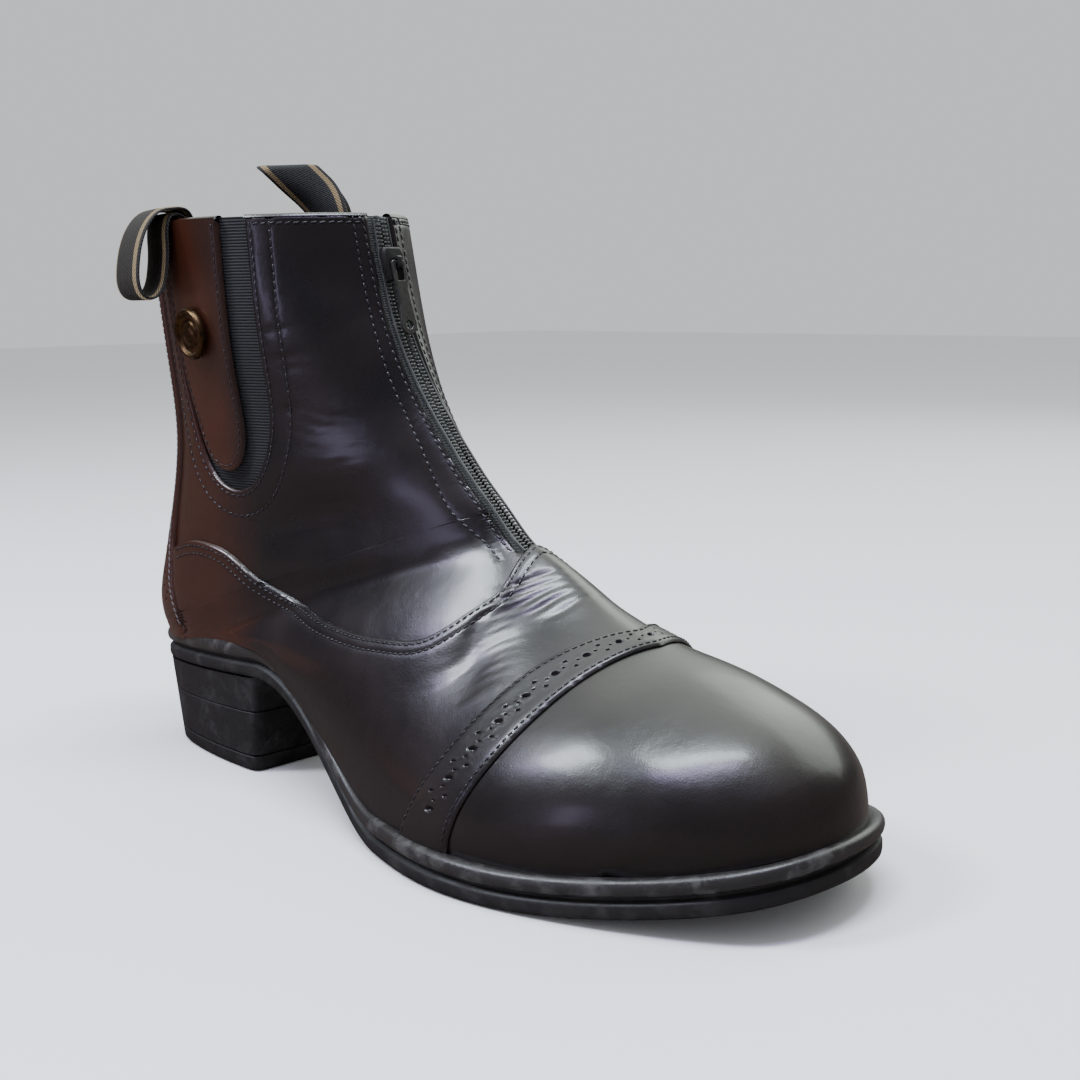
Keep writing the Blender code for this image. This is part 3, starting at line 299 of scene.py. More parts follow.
class Last:
    """The upper's outer face as a net of stations by girths, with the direction outwards at each knot."""

    def __init__(self):
        table = ring_table()
        steps = np.linalg.norm(np.diff(table[:, :2], axis=0), axis=1)
        steps += np.linalg.norm(np.diff(table[:, 2:4], axis=0), axis=1)
        knots = np.r_[0, np.cumsum(steps)] / steps.sum()
        self.heel = self.find_heel(table, knots)
        foot = np.linspace(self.heel, 1, FOOT_ROWS + 1)
        round_heel = self.heel + (foot[1] - self.heel) * np.array([0.07, 0.25, 0.56])
        self.stations = np.r_[np.linspace(0, self.heel, COLLAR_ROWS + 1), round_heel, foot[1:]]
        self.girths = np.linspace(-1, 1, 2 * GIRTH_ROWS + 1)
        shares = np.linspace(0, 1, GIRTH_ROWS + 1)
        self.points = np.zeros((len(self.stations), len(self.girths), 3))
        self.half_girth = np.zeros((len(self.stations), 2))
        for i, station in enumerate(self.stations):
            for k, side in enumerate((-1, 1)):
                arc = cut_at_sole(ring_arc(table, knots, station, side))[0]
                half = spaced(arc, shares)
                self.half_girth[i, k] = np.linalg.norm(np.diff(arc, axis=0), axis=1).sum()
                if side < 0:
                    self.points[i, : GIRTH_ROWS + 1] = half[::-1]
                else:
                    self.points[i, GIRTH_ROWS:] = half
        self.outward = self.find_outward()
        crest = self.points[:, GIRTH_ROWS]
        length = np.linalg.norm(np.diff(crest, axis=0), axis=1).sum()
        self.scale = np.array([length, float(self.half_girth.mean())])

    @staticmethod
    def find_heel(table, knots):
        """The station whose ring touches the sole's edge line just at the rear."""
        above, below = 0.0, 0.6
        for _ in range(40):
            middle = (above + below) / 2
            if cut_at_sole(ring_arc(table, knots, middle, -1))[1]:
                below = middle
            else:
                above = middle
        return above

    def find_outward(self):
        """Unit directions at the knots, averaged from the faces round each and across the back."""
        p = self.points
        face = np.cross(p[1:, 1:] - p[:-1, :-1], p[:-1, 1:] - p[1:, :-1])
        face /= np.maximum(np.linalg.norm(face, axis=2), 1e-12)[:, :, None]
        total = np.zeros_like(p)
        for rows in (slice(0, -1), slice(1, None)):
            for columns in (slice(0, -1), slice(1, None)):
                total[rows, columns] += face
        back = total[: COLLAR_ROWS + 1, 0] + total[: COLLAR_ROWS + 1, -1]
        total[: COLLAR_ROWS + 1, 0] = back
        total[: COLLAR_ROWS + 1, -1] = back
        return normed(total)

    def read(self, net, marks):
        """A net's values at marks, flat over both halves of each of its cells."""
        marks = np.asarray(marks, float)
        i = np.clip(np.searchsorted(self.stations, marks[:, 0], "right") - 1, 0, len(self.stations) - 2)
        j = np.clip(np.searchsorted(self.girths, marks[:, 1], "right") - 1, 0, len(self.girths) - 2)
        lateral = self.girths[j] < -1e-6
        inner = j + lateral
        outer = j + 1 - lateral
        a = ((marks[:, 0] - self.stations[i]) / (self.stations[i + 1] - self.stations[i]))[:, None]
        b = ((marks[:, 1] - self.girths[inner]) / (self.girths[outer] - self.girths[inner]))[:, None]
        corner = np.where(a > b, net[i + 1, inner], net[i, outer])
        far = np.minimum(a, b)
        return net[i, inner] * (1 - np.maximum(a, b)) + corner * np.abs(a - b) + net[i + 1, outer] * far

    def share(self, station, distance, side):
        """The girth, with its sign, that lies a distance in metres from the crest."""
        half = np.interp(station, self.stations, self.half_girth[:, 0 if side < 0 else 1])
        return side * distance / half


LAST = Last()
MIDDLE = np.array([(HEEL_PITCH + HEEL_LENGTH - BREAST_SLOPE) / 2, 0.0, 0.0])

# Lifts of the panels off the last, the press of the stitches, and how far the lowest edge sinks in the welt
TAB_LIFT = 0.0006
SEWN_LIFT = GAP + OVERLAY
STRIP_LIFT = 2 * GAP + OVERLAY + TOE_STRIP
BACK_LIFT = GAP + BACK_STRIP * 0.75
HIDDEN_EDGE = -0.0003
THREAD_PRESS = 0.00006
SUNK = 0.0020

# Creases and soft troughs: place, direction from the girth's line in degrees, half length, half width and
# depth in metres (a ridge has a negative depth)
Crease = namedtuple("Crease", "station girth turn length width depth")
CREASES = (
    Crease(0.345, -0.34, 20, 0.020, 0.0070, 0.0014),
    Crease(0.275, -0.30, 14, 0.022, 0.0080, -0.0010),
    Crease(0.400, -0.36, 22, 0.018, 0.0060, -0.0008),
    Crease(0.225, -0.205, 26, 0.0065, 0.0009, 0.00034),
    Crease(0.236, -0.220, 24, 0.0080, 0.0010, 0.00042),
    Crease(0.247, -0.228, 22, 0.0090, 0.0010, 0.00046),
    Crease(0.258, -0.246, 18, 0.0080, 0.0010, 0.00040),
    Crease(0.268, -0.214, 14, 0.0065, 0.0009, 0.00034),
    Crease(0.279, -0.236, 10, 0.0070, 0.0010, 0.00030),
    Crease(0.326, -0.290, 30, 0.0070, 0.0010, 0.00030),
    Crease(0.338, -0.310, 28, 0.0085, 0.0011, 0.00036),
    Crease(0.352, -0.330, 24, 0.0075, 0.0010, 0.00030),
    Crease(0.118, -0.288, 6, 0.0065, 0.0010, 0.00026),
    Crease(0.148, -0.286, 8, 0.0070, 0.0011, 0.00034),
    Crease(0.160, -0.282, 14, 0.0060, 0.0010, 0.00030),
    Crease(0.205, -0.330, 4, 0.0050, 0.0010, 0.00024),
    Crease(0.060, -0.200, 30, 0.0160, 0.0060, 0.0006),
    Crease(0.345, 0.34, -20, 0.020, 0.0070, 0.0013),
    Crease(0.275, 0.30, -14, 0.022, 0.0080, -0.0008),
    Crease(0.238, 0.215, -22, 0.0080, 0.0010, 0.00036),
    Crease(0.250, 0.225, -18, 0.0080, 0.0011, 0.00040),
    Crease(0.342, 0.300, -26, 0.0080, 0.0011, 0.00032),
    Crease(0.360, -0.62, 12, 0.014, 0.0050, 0.0008),
    Crease(0.360, 0.62, -12, 0.014, 0.0050, 0.0008),
    Crease(0.610, -0.315, -14, 0.0080, 0.0011, 0.00040),
    Crease(0.621, -0.335, -11, 0.0110, 0.0012, 0.00050),
    Crease(0.632, -0.350, -8, 0.0130, 0.0012, 0.00056),
    Crease(0.642, -0.368, -4, 0.0125, 0.0011, 0.00052),
    Crease(0.652, -0.385, -1, 0.0120, 0.0011, 0.00052),
    Crease(0.662, -0.410, 3, 0.0120, 0.0012, 0.00052),
    Crease(0.672, -0.420, 3, 0.0105, 0.0011, 0.00046),
    Crease(0.682, -0.440, 6, 0.0095, 0.0011, 0.00040),
    Crease(0.692, -0.465, 9, 0.0080, 0.0010, 0.00032),
    Crease(0.650, -0.36, 0, 0.026, 0.0080, 0.0010),
    Crease(0.566, -0.085, 8, 0.0100, 0.0016, 0.00050),
    Crease(0.584, -0.110, 6, 0.0120, 0.0017, 0.00056),
    Crease(0.602, -0.130, 2, 0.0130, 0.0018, 0.00060),
    Crease(0.621, -0.110, 0, 0.0110, 0.0016, 0.00044),
    Crease(0.640, -0.060, -3, 0.0100, 0.0015, 0.00030),
    Crease(0.622, 0.345, 8, 0.0110, 0.0012, 0.00046),
    Crease(0.636, 0.360, 5, 0.0125, 0.0012, 0.00050),
    Crease(0.650, 0.380, 0, 0.0130, 0.0012, 0.00050),
    Crease(0.664, 0.400, -4, 0.0110, 0.0012, 0.00044),
    Crease(0.650, 0.36, 0, 0.024, 0.0080, 0.0009),
)


def relief(marks):
    """How far creases lower the leather at marks."""
    marks = np.asarray(marks, float)
    drop = np.zeros(len(marks))
    for c in CREASES:
        off = (marks - (c.station, c.girth)) * LAST.scale
        turn = math.radians(c.turn)
        along = off[:, 1] * math.cos(turn) + off[:, 0] * math.sin(turn)
        over = off[:, 0] * math.cos(turn) - off[:, 1] * math.sin(turn)
        over = over + 0.12 * c.length * np.sin(along / c.length * 2.1)
        drop += c.depth * np.exp(-((along / c.length) ** 2)) * np.exp(-((over / c.width) ** 2))
    return drop


RUN_DOWN = np.r_[0, np.cumsum(np.linalg.norm(np.diff(LAST.points, axis=0), axis=2).mean(1))]


def flat(marks):
    """Marks laid out in metres, with each step down the last as long as it is on average."""
    marks = np.asarray(marks, float)
    return np.stack([np.interp(marks[:, 0], LAST.stations, RUN_DOWN), marks[:, 1] * LAST.scale[1]], 1)


def unflat(points):
    """The marks of flat points."""
    return np.stack([np.interp(points[:, 0], RUN_DOWN, LAST.stations), points[:, 1] / LAST.scale[1]], 1)


def outward_at(marks):
    """Directions out of the last at marks."""
    return normed(LAST.read(LAST.outward, marks))


def on_last(marks, lift):
    """World places over marks at a lift, creased, with the lowest edge sunk into the welt."""
    marks = np.asarray(marks, float)
    out = outward_at(marks)
    places = LAST.read(LAST.points, marks) + (lift - relief(marks))[:, None] * out
    low = np.where(marks[:, 0] > LAST.heel, np.clip((np.abs(marks[:, 1]) - 0.965) / 0.02, 0, 1), 0)
    low = np.maximum(low, np.clip((marks[:, 0] - 0.978) / 0.014, 0, 1))
    places[:, 2] -= SUNK * low
    return places - MIDDLE


class Skin:
    """The last's outer face as triangles, to find the marks that lie nearest to a place."""

    def __init__(self, columns):
        net = LAST.points[:, columns]
        rows, width = net.shape[:2]
        girths = LAST.girths[columns]
        self.places = [Vector(place) for place in net.reshape(-1, 3)]
        self.marks = np.array([(station, girth) for station in LAST.stations for girth in girths])
        self.faces = []
        for i in range(rows - 1):
            for k in range(width - 1):
                a = i * width + k
                if girths[k] < -1e-6:
                    self.faces += [(a, a + 1, a + width), (a + 1, a + width + 1, a + width)]
                else:
                    self.faces += [(a, a + 1, a + width + 1), (a, a + width + 1, a + width)]
        self.tree = BVHTree.FromPolygons(self.places, self.faces)

    def find(self, place):
        """The marks nearest to a place."""
        here, _, face, _ = self.tree.find_nearest(Vector(place))
        corners = self.faces[face]
        shares = poly_3d_calc([self.places[k] for k in corners], here)
        return np.array(shares) @ self.marks[list(corners)]


MID_GIRTH = len(LAST.girths) // 2
SKINS = {-1: Skin(slice(0, MID_GIRTH + 1)), 0: Skin(slice(None)), 1: Skin(slice(MID_GIRTH, None))}


def nearest(places, sides):
    """Marks on the last nearest to places, each looked for on its own side."""
    found = np.array([SKINS[side].find(place) for side, place in zip(sides, places)])
    miss = places - LAST.read(LAST.points, found)
    return np.array([SKINS[side].find(place) for side, place in zip(sides, places + miss)])


def sides_of(marks):
    """The side that marks lie on: lateral, medial, or neither near the crest."""
    return np.where(np.abs(marks[:, 1]) > 0.4, np.sign(marks[:, 1]), 0).astype(int)


def trace(marks, side, count):
    """Marks evenly along a smooth line over the last through listed marks, on one side."""
    rows = np.array([(mark.station, side * mark.girth) for mark in marks])
    through = LAST.read(LAST.points, rows)
    run = run_along(through)
    where = np.linspace(0, run[-1], count)
    target = np.stack([natural_spline(run, through[:, k], where) for k in range(3)], 1)
    found = nearest(target, [side] * count)
    found[0], found[-1] = rows[0], rows[-1]
    return found


def evenly(line, step, closed=False):
    """A line of marks resampled at even steps in metres."""
    line = np.asarray(line, float)
    if closed:
        line = np.vstack([line, line[:1]])
    places = LAST.read(LAST.points, line)
    keep = np.r_[True, np.linalg.norm(np.diff(places, axis=0), axis=1) > 1e-7]
    line, places = line[keep], places[keep]
    run = run_along(places)
    count = max(int(round(run[-1] / step)), 2)
    where = np.linspace(0, run[-1], count + 1)
    even = np.stack([np.interp(where, run, line[:, k]) for k in range(2)], 1)
    wanted = np.stack([np.interp(where, run, places[:, k]) for k in range(3)], 1)
    piece = np.clip(np.searchsorted(run, where, "right") - 1, 0, len(run) - 2)
    off = np.linalg.norm(LAST.read(LAST.points, even) - wanted, axis=1) > 0.0001
    off &= np.diff(run)[piece] < 0.004
    if off.any():
        even[off] = nearest(wanted[off], sides_of(even[off]))
    return even[:-1] if closed else even


def moved_line(line, distance, closed=False):
    """A line of marks moved over the last to its left by a distance in metres."""
    line = np.asarray(line, float)
    places = LAST.read(LAST.points, line)
    along = np.roll(places, -1, 0) - np.roll(places, 1, 0) if closed else np.gradient(places, axis=0)
    left = np.cross(LAST.read(LAST.outward, line), along)
    left /= np.maximum(np.linalg.norm(left, axis=1), 1e-9)[:, None]
    return nearest(places + distance * left, sides_of(line))


def across(marks, count):
    """A line of marks from the lateral edge over the crest to the medial edge."""
    return np.vstack([trace(marks, -1, count)[::-1], trace(marks, 1, count)[1:]])


def inside(points, outline):
    """Which plan points lie within a closed outline."""
    result = np.zeros(len(points), bool)
    following = np.roll(outline, -1, 0)
    for a, b in zip(outline, following):
        crosses = (a[1] > points[:, 1]) != (b[1] > points[:, 1])
        rise = b[1] - a[1] if b[1] != a[1] else 1.0
        result ^= crosses & (points[:, 0] < a[0] + (points[:, 1] - a[1]) / rise * (b[0] - a[0]))
    return result


class Line:
    """A line over the last, closely sampled, to measure distances from."""

    def __init__(self, line, closed=False):
        places = LAST.read(LAST.points, evenly(line, 0.0003, closed))
        self.tree = KDTree(len(places))
        for k, place in enumerate(places):
            self.tree.insert(place, k)
        self.tree.balance()

    def away(self, marks):
        """Distances of marks from the line, in space."""
        return np.array([self.tree.find(place)[2] for place in LAST.read(LAST.points, marks)])


Hole = namedtuple("Hole", "station girth radius")

# Steps along the panels' edges and their stitched grooves, and the grooves' depth and width
EDGE_STEP = 0.0009
GROOVE_STEP = 0.0010
GROOVE_DEPTH = 0.00016
GROOVE_WIDTH = 0.0006


def grid_within(flat_edge, step):
    """Marks in staggered rows inside an outline that is laid out flat."""
    low_corner, high_corner = flat_edge.min(0), flat_edge.max(0)
    rows = []
    for number, row in enumerate(np.arange(low_corner[0] + step / 2, high_corner[0], step)):
        columns = np.arange(low_corner[1] + (number % 2) * step / 2, high_corner[1], step)
        rows.append(np.stack([np.full(len(columns), row), columns], 1))
    points = np.vstack(rows)
    return unflat(points[inside(points, flat_edge)])


def hole_rings(hole):
    """Marks at and round a pinhole."""
    middle = flat([(hole.station, hole.girth)])
    turn = np.linspace(0, 2 * math.pi, 14, endpoint=False)
    round_it = np.stack([np.cos(turn), np.sin(turn)], 1) * hole.radius
    return [unflat(middle)] + [unflat(middle + round_it * share) for share in (0.45, 0.85, 1.05, 1.35)]


def from_hole(points, hole):
    """Distances of flat points from a pinhole's middle."""
    return np.linalg.norm(points - flat([(hole.station, hole.girth)]), axis=1)


def filled(edge, points):
    """Flat corners and triangles, facing out, that fill an outline through points."""
    count = len(edge)
    every = [Vector(point) for point in flat(np.vstack([edge, points]))]
    border = [(k, (k + 1) % count) for k in range(count)]
    corners, _, faces, *_ = delaunay_2d_cdt(every, border, [], 0, 1e-7)
    corners = np.array([tuple(corner) for corner in corners])
    faces = np.array(faces)
    a, b, c = (corners[faces[:, k]] for k in range(3))
    area = (b[:, 0] - a[:, 0]) * (c[:, 1] - a[:, 1]) - (b[:, 1] - a[:, 1]) * (c[:, 0] - a[:, 0])
    faces = np.where(area[:, None] < 0, faces[:, ::-1], faces)
    kept = inside((a + b + c) / 3, flat(edge)) & (np.abs(area) > 1e-12)
    return corners, faces[kept]


def sheet(
    name, outline, finish, low, high, roll=0.0012, step=0.0022, holes=(), dent=0.0006, rolled=None, rows=()
):
    """A leather panel over the last: its edge rolls down to its low lift, and stitched rows pull it in."""
    edge = evenly(outline, EDGE_STEP, True)
    border = Line(edge, True)
    flat_edge = flat(edge)
    points = grid_within(flat_edge, step)
    points = points[border.away(points) > roll * 1.25]
    inwards = 1 if inside(flat(moved_line(edge, roll * 0.2, True)[:1]), flat_edge)[0] else -1
    for share in (0.12, 0.35, 0.75):
        ring = moved_line(edge, inwards * roll * share, True)
        ring = ring[inside(flat(ring), flat_edge)]
        points = np.vstack([points, ring[border.away(ring) > roll * share * 0.85]])
    grooves = []
    for row in rows:
        middle = evenly(row, GROOVE_STEP)
        groove = Line(middle)
        grooves.append(groove)
        beside = np.vstack([moved_line(middle, aside) for aside in (-0.0010, -0.0005, 0.0, 0.0005, 0.0010)])
        beside = beside[inside(flat(beside), flat_edge)]
        beside = beside[border.away(beside) > GROOVE_STEP * 0.6]
        points = np.vstack([points[groove.away(points) > 0.0015], beside])
    for hole in holes:
        points = points[from_hole(flat(points), hole) > hole.radius * 1.5]
    rings = [ring for hole in holes for ring in hole_rings(hole)]
    corners, faces = filled(edge, np.vstack([points] + rings))
    marks = unflat(corners)
    shape = np.sqrt(np.clip(1 - (1 - np.clip(border.away(marks) / roll, 0, 1)) ** 2, 0, 1))
    if rolled is not None:
        shape = np.maximum(shape, rolled(marks))
    lift = low + (high - low) * shape
    for groove in grooves:
        lift -= GROOVE_DEPTH * np.exp(-((groove.away(marks) / GROOVE_WIDTH) ** 2))
    for hole in holes:
        away = from_hole(corners, hole) / hole.radius
        lift -= dent * np.clip((1.05 - away) / 0.3, 0, 1) * min(hole.radius / 0.0009, 1.3)
        lift += 0.00010 * np.exp(-(((away - 1.35) / 0.25) ** 2))
    return mesh_piece(name, on_last(marks, lift), faces.tolist(), finish)


def dressed(name, mesh, finish, sharp=None, body="boot"):
    """A smooth-shaded piece with its material, riding on its body."""
    mesh.shade_smooth()
    if sharp:
        mesh.set_sharp_from_angle(angle=math.radians(sharp))
    mesh.materials.clear()
    mesh.materials.append(finish)
    piece = bpy.data.objects.new(name, mesh)
    bpy.context.scene.collection.objects.link(piece)
    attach(piece, body)
    return piece


def mesh_piece(name, points, faces, finish, sharp=None, body="boot"):
    """A piece from points and faces."""
    mesh = bpy.data.meshes.new(name)
    mesh.from_pydata([tuple(point) for point in points], [], faces)
    return dressed(name, mesh, finish, sharp, body)


def capsule(rings=5, sides=6):
    """A thread's float: a unit capsule along X, 2 long and 2 wide."""
    points = [(-1.0, 0, 0)]
    for k in range(1, rings):
        t = math.pi * k / rings
        wide = math.sin(t) ** 0.6
        for n in range(sides):
            turn = 2 * math.pi * n / sides
            points.append((-math.cos(t), wide * math.cos(turn), wide * math.sin(turn)))
    points.append((1.0, 0, 0))
    faces = [(0, 1 + (n + 1) % sides, 1 + n) for n in range(sides)]
    faces += ring_faces(rings - 1, sides, 1)
    last = len(points) - 1
    a = 1 + (rings - 2) * sides
    faces += [(last, a + n, a + (n + 1) % sides) for n in range(sides)]
    return np.array(points), faces


def add_capsule(points, faces, shape, here, axes, sizes):
    """Adds a capsule at a place, along three axes and with three half sizes."""
    first = len(points)
    unit_points, unit_faces = shape
    scaled = np.asarray(axes) * np.asarray(sizes)[:, None]
    points += list(here + unit_points @ scaled)
    faces += [tuple(k + first for k in face) for face in unit_faces]


def stitches(name, lines, sewing):
    """Rows of thread floats along lines of marks, pressed into the leather."""
    shape = capsule()
    sizes = (sewing.length / 2, sewing.width / 2, sewing.width * 0.38)
    points, faces = [], []
    for line in lines:
        marks = evenly(line, sewing.pitch)
        places = on_last(marks, sewing.lift - THREAD_PRESS)
        middle = (places[:-1] + places[1:]) / 2
        run = normed(np.diff(places, axis=0))
        for here, ahead, up in zip(middle, run, outward_at(marks)[:-1]):
            side = np.cross(up, ahead)
            turn = sewing.slant + random.uniform(-0.06, 0.06)
            ahead = ahead * math.cos(turn) + side * math.sin(turn)
            add_capsule(points, faces, shape, here, (ahead, np.cross(up, ahead), up), sizes)
    return mesh_piece(name, points, faces, sewing.thread)


def shader(name, colour, roughness, **values):
    """A material's tree with its Principled BSDF set."""
    made = bpy.data.materials.new(name)
    made.use_nodes = True
    tree = made.node_tree
    bsdf = tree.nodes["Principled BSDF"]
    bsdf.inputs["Base Color"].default_value = (*colour, 1)
    bsdf.inputs["Roughness"].default_value = roughness
    for key, value in values.items():
        bsdf.inputs[key.replace("_", " ")].default_value = value
    return made, tree, bsdf


def feed(tree, place, source):
    """Gives an input a socket's value or a value of its own."""
    if isinstance(source, bpy.types.NodeSocket):
        tree.links.new(source, place)
    else:
        place.default_value = source


def node(tree, kind, links=(), **values):
    """A node with its settings, its inputs' values and the sockets that feed them."""
    made = tree.nodes.new(kind)
    for key, value in values.items():
        if hasattr(made, key):
            setattr(made, key, value)
        else:
            made.inputs[key.replace("_", " ")].default_value = value
    for place, source in links:
        feed(tree, made.inputs[place], source)
    return made


def mixed(tree, share, first, second, blend="MIX"):
    """A colour between two, by a share."""
    made = node(tree, "ShaderNodeMix", data_type="RGBA", blend_type=blend)
    for place, source in ((0, share), (6, first), (7, second)):
        feed(tree, made.inputs[place], source)
    return made.outputs[2]


def spread(tree, source, low, high, to_low=0.0, to_high=1.0):
    """A value stretched from one range to another."""
    limits = (("From Min", low), ("From Max", high), ("To Min", to_low), ("To Max", to_high))
    return node(tree, "ShaderNodeMapRange", [("Value", source), *limits]).outputs["Result"]


def maths(tree, operation, *terms, clamp=False):
    """The result of an operation on sockets and numbers."""
    made = node(tree, "ShaderNodeMath", enumerate(terms), operation=operation, use_clamp=clamp)
    return made.outputs[0]


def object_place(tree):
    """The place on the piece, in metres."""
    return node(tree, "ShaderNodeTexCoord").outputs["Object"]


def noise(tree, place, scale, detail=2.0, roughness=0.5):
    """Soft random patches."""
    values = {"Scale": scale, "Detail": detail, "Roughness": roughness}
    made = node(tree, "ShaderNodeTexNoise", [("Vector", place)], **values)
    return made.outputs["Fac"]


def bumped(tree, height, depth, strength, under=None):
    """The normal over a relief, laid on another where one is given."""
    made = node(tree, "ShaderNodeBump", [("Height", height), ("Distance", depth)], Strength=strength)
    if under is not None:
        tree.links.new(under, made.inputs["Normal"])
    return made.outputs["Normal"]


def rougher(tree, roughness, mask, extra):
    """Roughness that rises by an extra amount where the mask is 1."""
    return spread(tree, mask, 0.0, 1.0, roughness, maths(tree, "ADD", roughness, extra, clamp=True))


def effect(name, sockets, results):
    """An empty shader node group with named inputs and outputs."""
    tree = bpy.data.node_groups.new(name, "ShaderNodeTree")
    for label, kind, value in sockets:
        socket = tree.interface.new_socket(label, in_out="INPUT", socket_type=kind)
        socket.default_value = value
    for label, kind in results:
        tree.interface.new_socket(label, in_out="OUTPUT", socket_type=kind)
    return tree, tree.nodes.new("NodeGroupInput").outputs, tree.nodes.new("NodeGroupOutput").inputs


COLOUR = "NodeSocketColor"
NUMBER = "NodeSocketFloat"
ARROW = "NodeSocketVector"


def hide_effect():
    """Smooth hide: fine grain and pores, soft unevenness, uneven polish, brown where the dye is thin, and a
    painted warm reflection that grows towards the heel.
    """
    sockets = (
        ("Dye", COLOUR, (0.01, 0.01, 0.01, 1)),
        ("Brown", COLOUR, (0.05, 0.02, 0.01, 1)),
        ("Brown all over", NUMBER, 0.1),
        ("Brown at heel", NUMBER, 0.6),
        ("Roughness", NUMBER, 0.4),
        ("Grain depth", NUMBER, 0.00005),
    )
    results = (("Colour", COLOUR), ("Roughness", NUMBER), ("Normal", ARROW))
    tree, given, result = effect("Hide", sockets, results)
    place = object_place(tree)
    cells = node(tree, "ShaderNodeTexVoronoi", [("Vector", place)],
                 feature="DISTANCE_TO_EDGE", Scale=1250.0)
    pores = noise(tree, place, 800.0, 3.0)
    cloud = noise(tree, place, 34.0, 4.0)
    soft = noise(tree, place, 70.0, 3.0)
    height = maths(tree, "MULTIPLY_ADD", cells.outputs["Distance"], 1.5, pores)
    height = maths(tree, "MULTIPLY_ADD", noise(tree, place, 240.0), 1.2, height)
    fine = bumped(tree, height, given["Grain depth"], 0.5)
    tree.links.new(bumped(tree, soft, 0.0008, 0.35, fine), result["Normal"])
    low = maths(tree, "SUBTRACT", given["Roughness"], 0.06)
    high = maths(tree, "ADD", given["Roughness"], 0.09)
    tree.links.new(spread(tree, cloud, 0.3, 0.7, low, high), result["Roughness"])
    forward = node(tree, "ShaderNodeSeparateXYZ", [(0, place)]).outputs["X"]
    # Painted warm reflection: brown that grows towards the heel, standing in for warm light mirrored on the
    # boot's rear.
    painted_warm_reflection = spread(tree, forward, 0.043, 0.020, 0.0, given["Brown at heel"])
    thin = spread(tree, cloud, 0.35, 0.70, 0.0, given["Brown all over"])
    uneven = spread(tree, soft, 0.25, 0.75, 0.7, 1.0)
    # The brown mixed in is partly random thin-dye tone and partly the painted warm reflection.
    brown = maths(tree, "MULTIPLY", maths(tree, "ADD", painted_warm_reflection, thin, clamp=True), uneven)
    tree.links.new(mixed(tree, brown, given["Dye"], given["Brown"]), result["Colour"])
    return tree


def weave_effect():
    """Ribbed weave: ribs stacked up the boot with a finer yarn across them, painted darker in the rib valleys
    and lighter on the crests.
    """
    sockets = (
        ("Yarn", COLOUR, (0.02, 0.02, 0.02, 1)),
        ("Ribs", NUMBER, 300.0),
        ("Rib depth", NUMBER, 0.0002),
    )
    tree, given, result = effect("Weave", sockets, (("Colour", COLOUR), ("Normal", ARROW)))
    place = object_place(tree)
    ribs = node(tree, "ShaderNodeTexWave", [("Vector", place), ("Scale", given["Ribs"])],
                bands_direction="Z", Distortion=0.5, Detail_Scale=3.0).outputs["Fac"]
    height = maths(tree, "MULTIPLY_ADD", noise(tree, place, 1900.0), 0.7, ribs)
    tree.links.new(bumped(tree, height, given["Rib depth"], 0.9), result["Normal"])
    # Painted shade in the valleys between the ribs and painted highlight on their crests.
    painted_shade_colour = mixed(tree, 1.0, given["Yarn"], (0.35, 0.35, 0.35, 1), "MULTIPLY")
    light = mixed(tree, 1.0, given["Yarn"], (1.5, 1.5, 1.5, 1), "MULTIPLY")
    tree.links.new(mixed(tree, ribs, painted_shade_colour, light), result["Colour"])
    return tree


def scuff_effect():
    """Moulded rubber: a fine tooth, dull scuffs and dust."""
    sockets = (
        ("Rubber", COLOUR, (0.01, 0.01, 0.01, 1)),
        ("Worn", COLOUR, (0.03, 0.03, 0.03, 1)),
        ("Roughness", NUMBER, 0.5),
        ("Tooth depth", NUMBER, 0.0001),
    )
    results = (("Colour", COLOUR), ("Roughness", NUMBER), ("Normal", ARROW))
    tree, given, result = effect("Scuff", sockets, results)
    place = object_place(tree)
    tooth = noise(tree, place, 1100.0, 4.0)
    tree.links.new(bumped(tree, tooth, given["Tooth depth"], 0.7), result["Normal"])
    mask = spread(tree, noise(tree, place, 85.0, 6.0, 0.72), 0.50, 0.68)
    tree.links.new(mixed(tree, mask, given["Rubber"], given["Worn"]), result["Colour"])
    tree.links.new(rougher(tree, given["Roughness"], mask, 0.22), result["Roughness"])
    return tree


def tarnish_effect():
    """Metal that has dulled in patches."""
    sockets = (
        ("Metal", COLOUR, (0.3, 0.2, 0.1, 1)),
        ("Tarnish", COLOUR, (0.1, 0.08, 0.05, 1)),
        ("Roughness", NUMBER, 0.35),
    )
    tree, given, result = effect("Tarnish", sockets, (("Colour", COLOUR), ("Roughness", NUMBER)))
    mask = spread(tree, noise(tree, object_place(tree), 520.0, 5.0), 0.38, 0.66)
    tree.links.new(mixed(tree, mask, given["Metal"], given["Tarnish"]), result["Colour"])
    tree.links.new(rougher(tree, given["Roughness"], mask, 0.2), result["Roughness"])
    return tree


def thread_effect():
    """Twisted sewing thread, painted darker in the twist's hollows."""
    sockets = (("Thread", COLOUR, (0.02, 0.02, 0.02, 1)),)
    tree, given, result = effect("Twist", sockets, (("Colour", COLOUR), ("Normal", ARROW)))
    twist = noise(tree, object_place(tree), 3000.0)
    tree.links.new(bumped(tree, twist, 0.0001, 0.8), result["Normal"])
    # Painted shade where the twist's relief is low.
    painted_shade_colour = mixed(tree, 1.0, given["Thread"], (0.6, 0.6, 0.6, 1), "MULTIPLY")
    tree.links.new(mixed(tree, twist, painted_shade_colour, given["Thread"]), result["Colour"])
    return tree


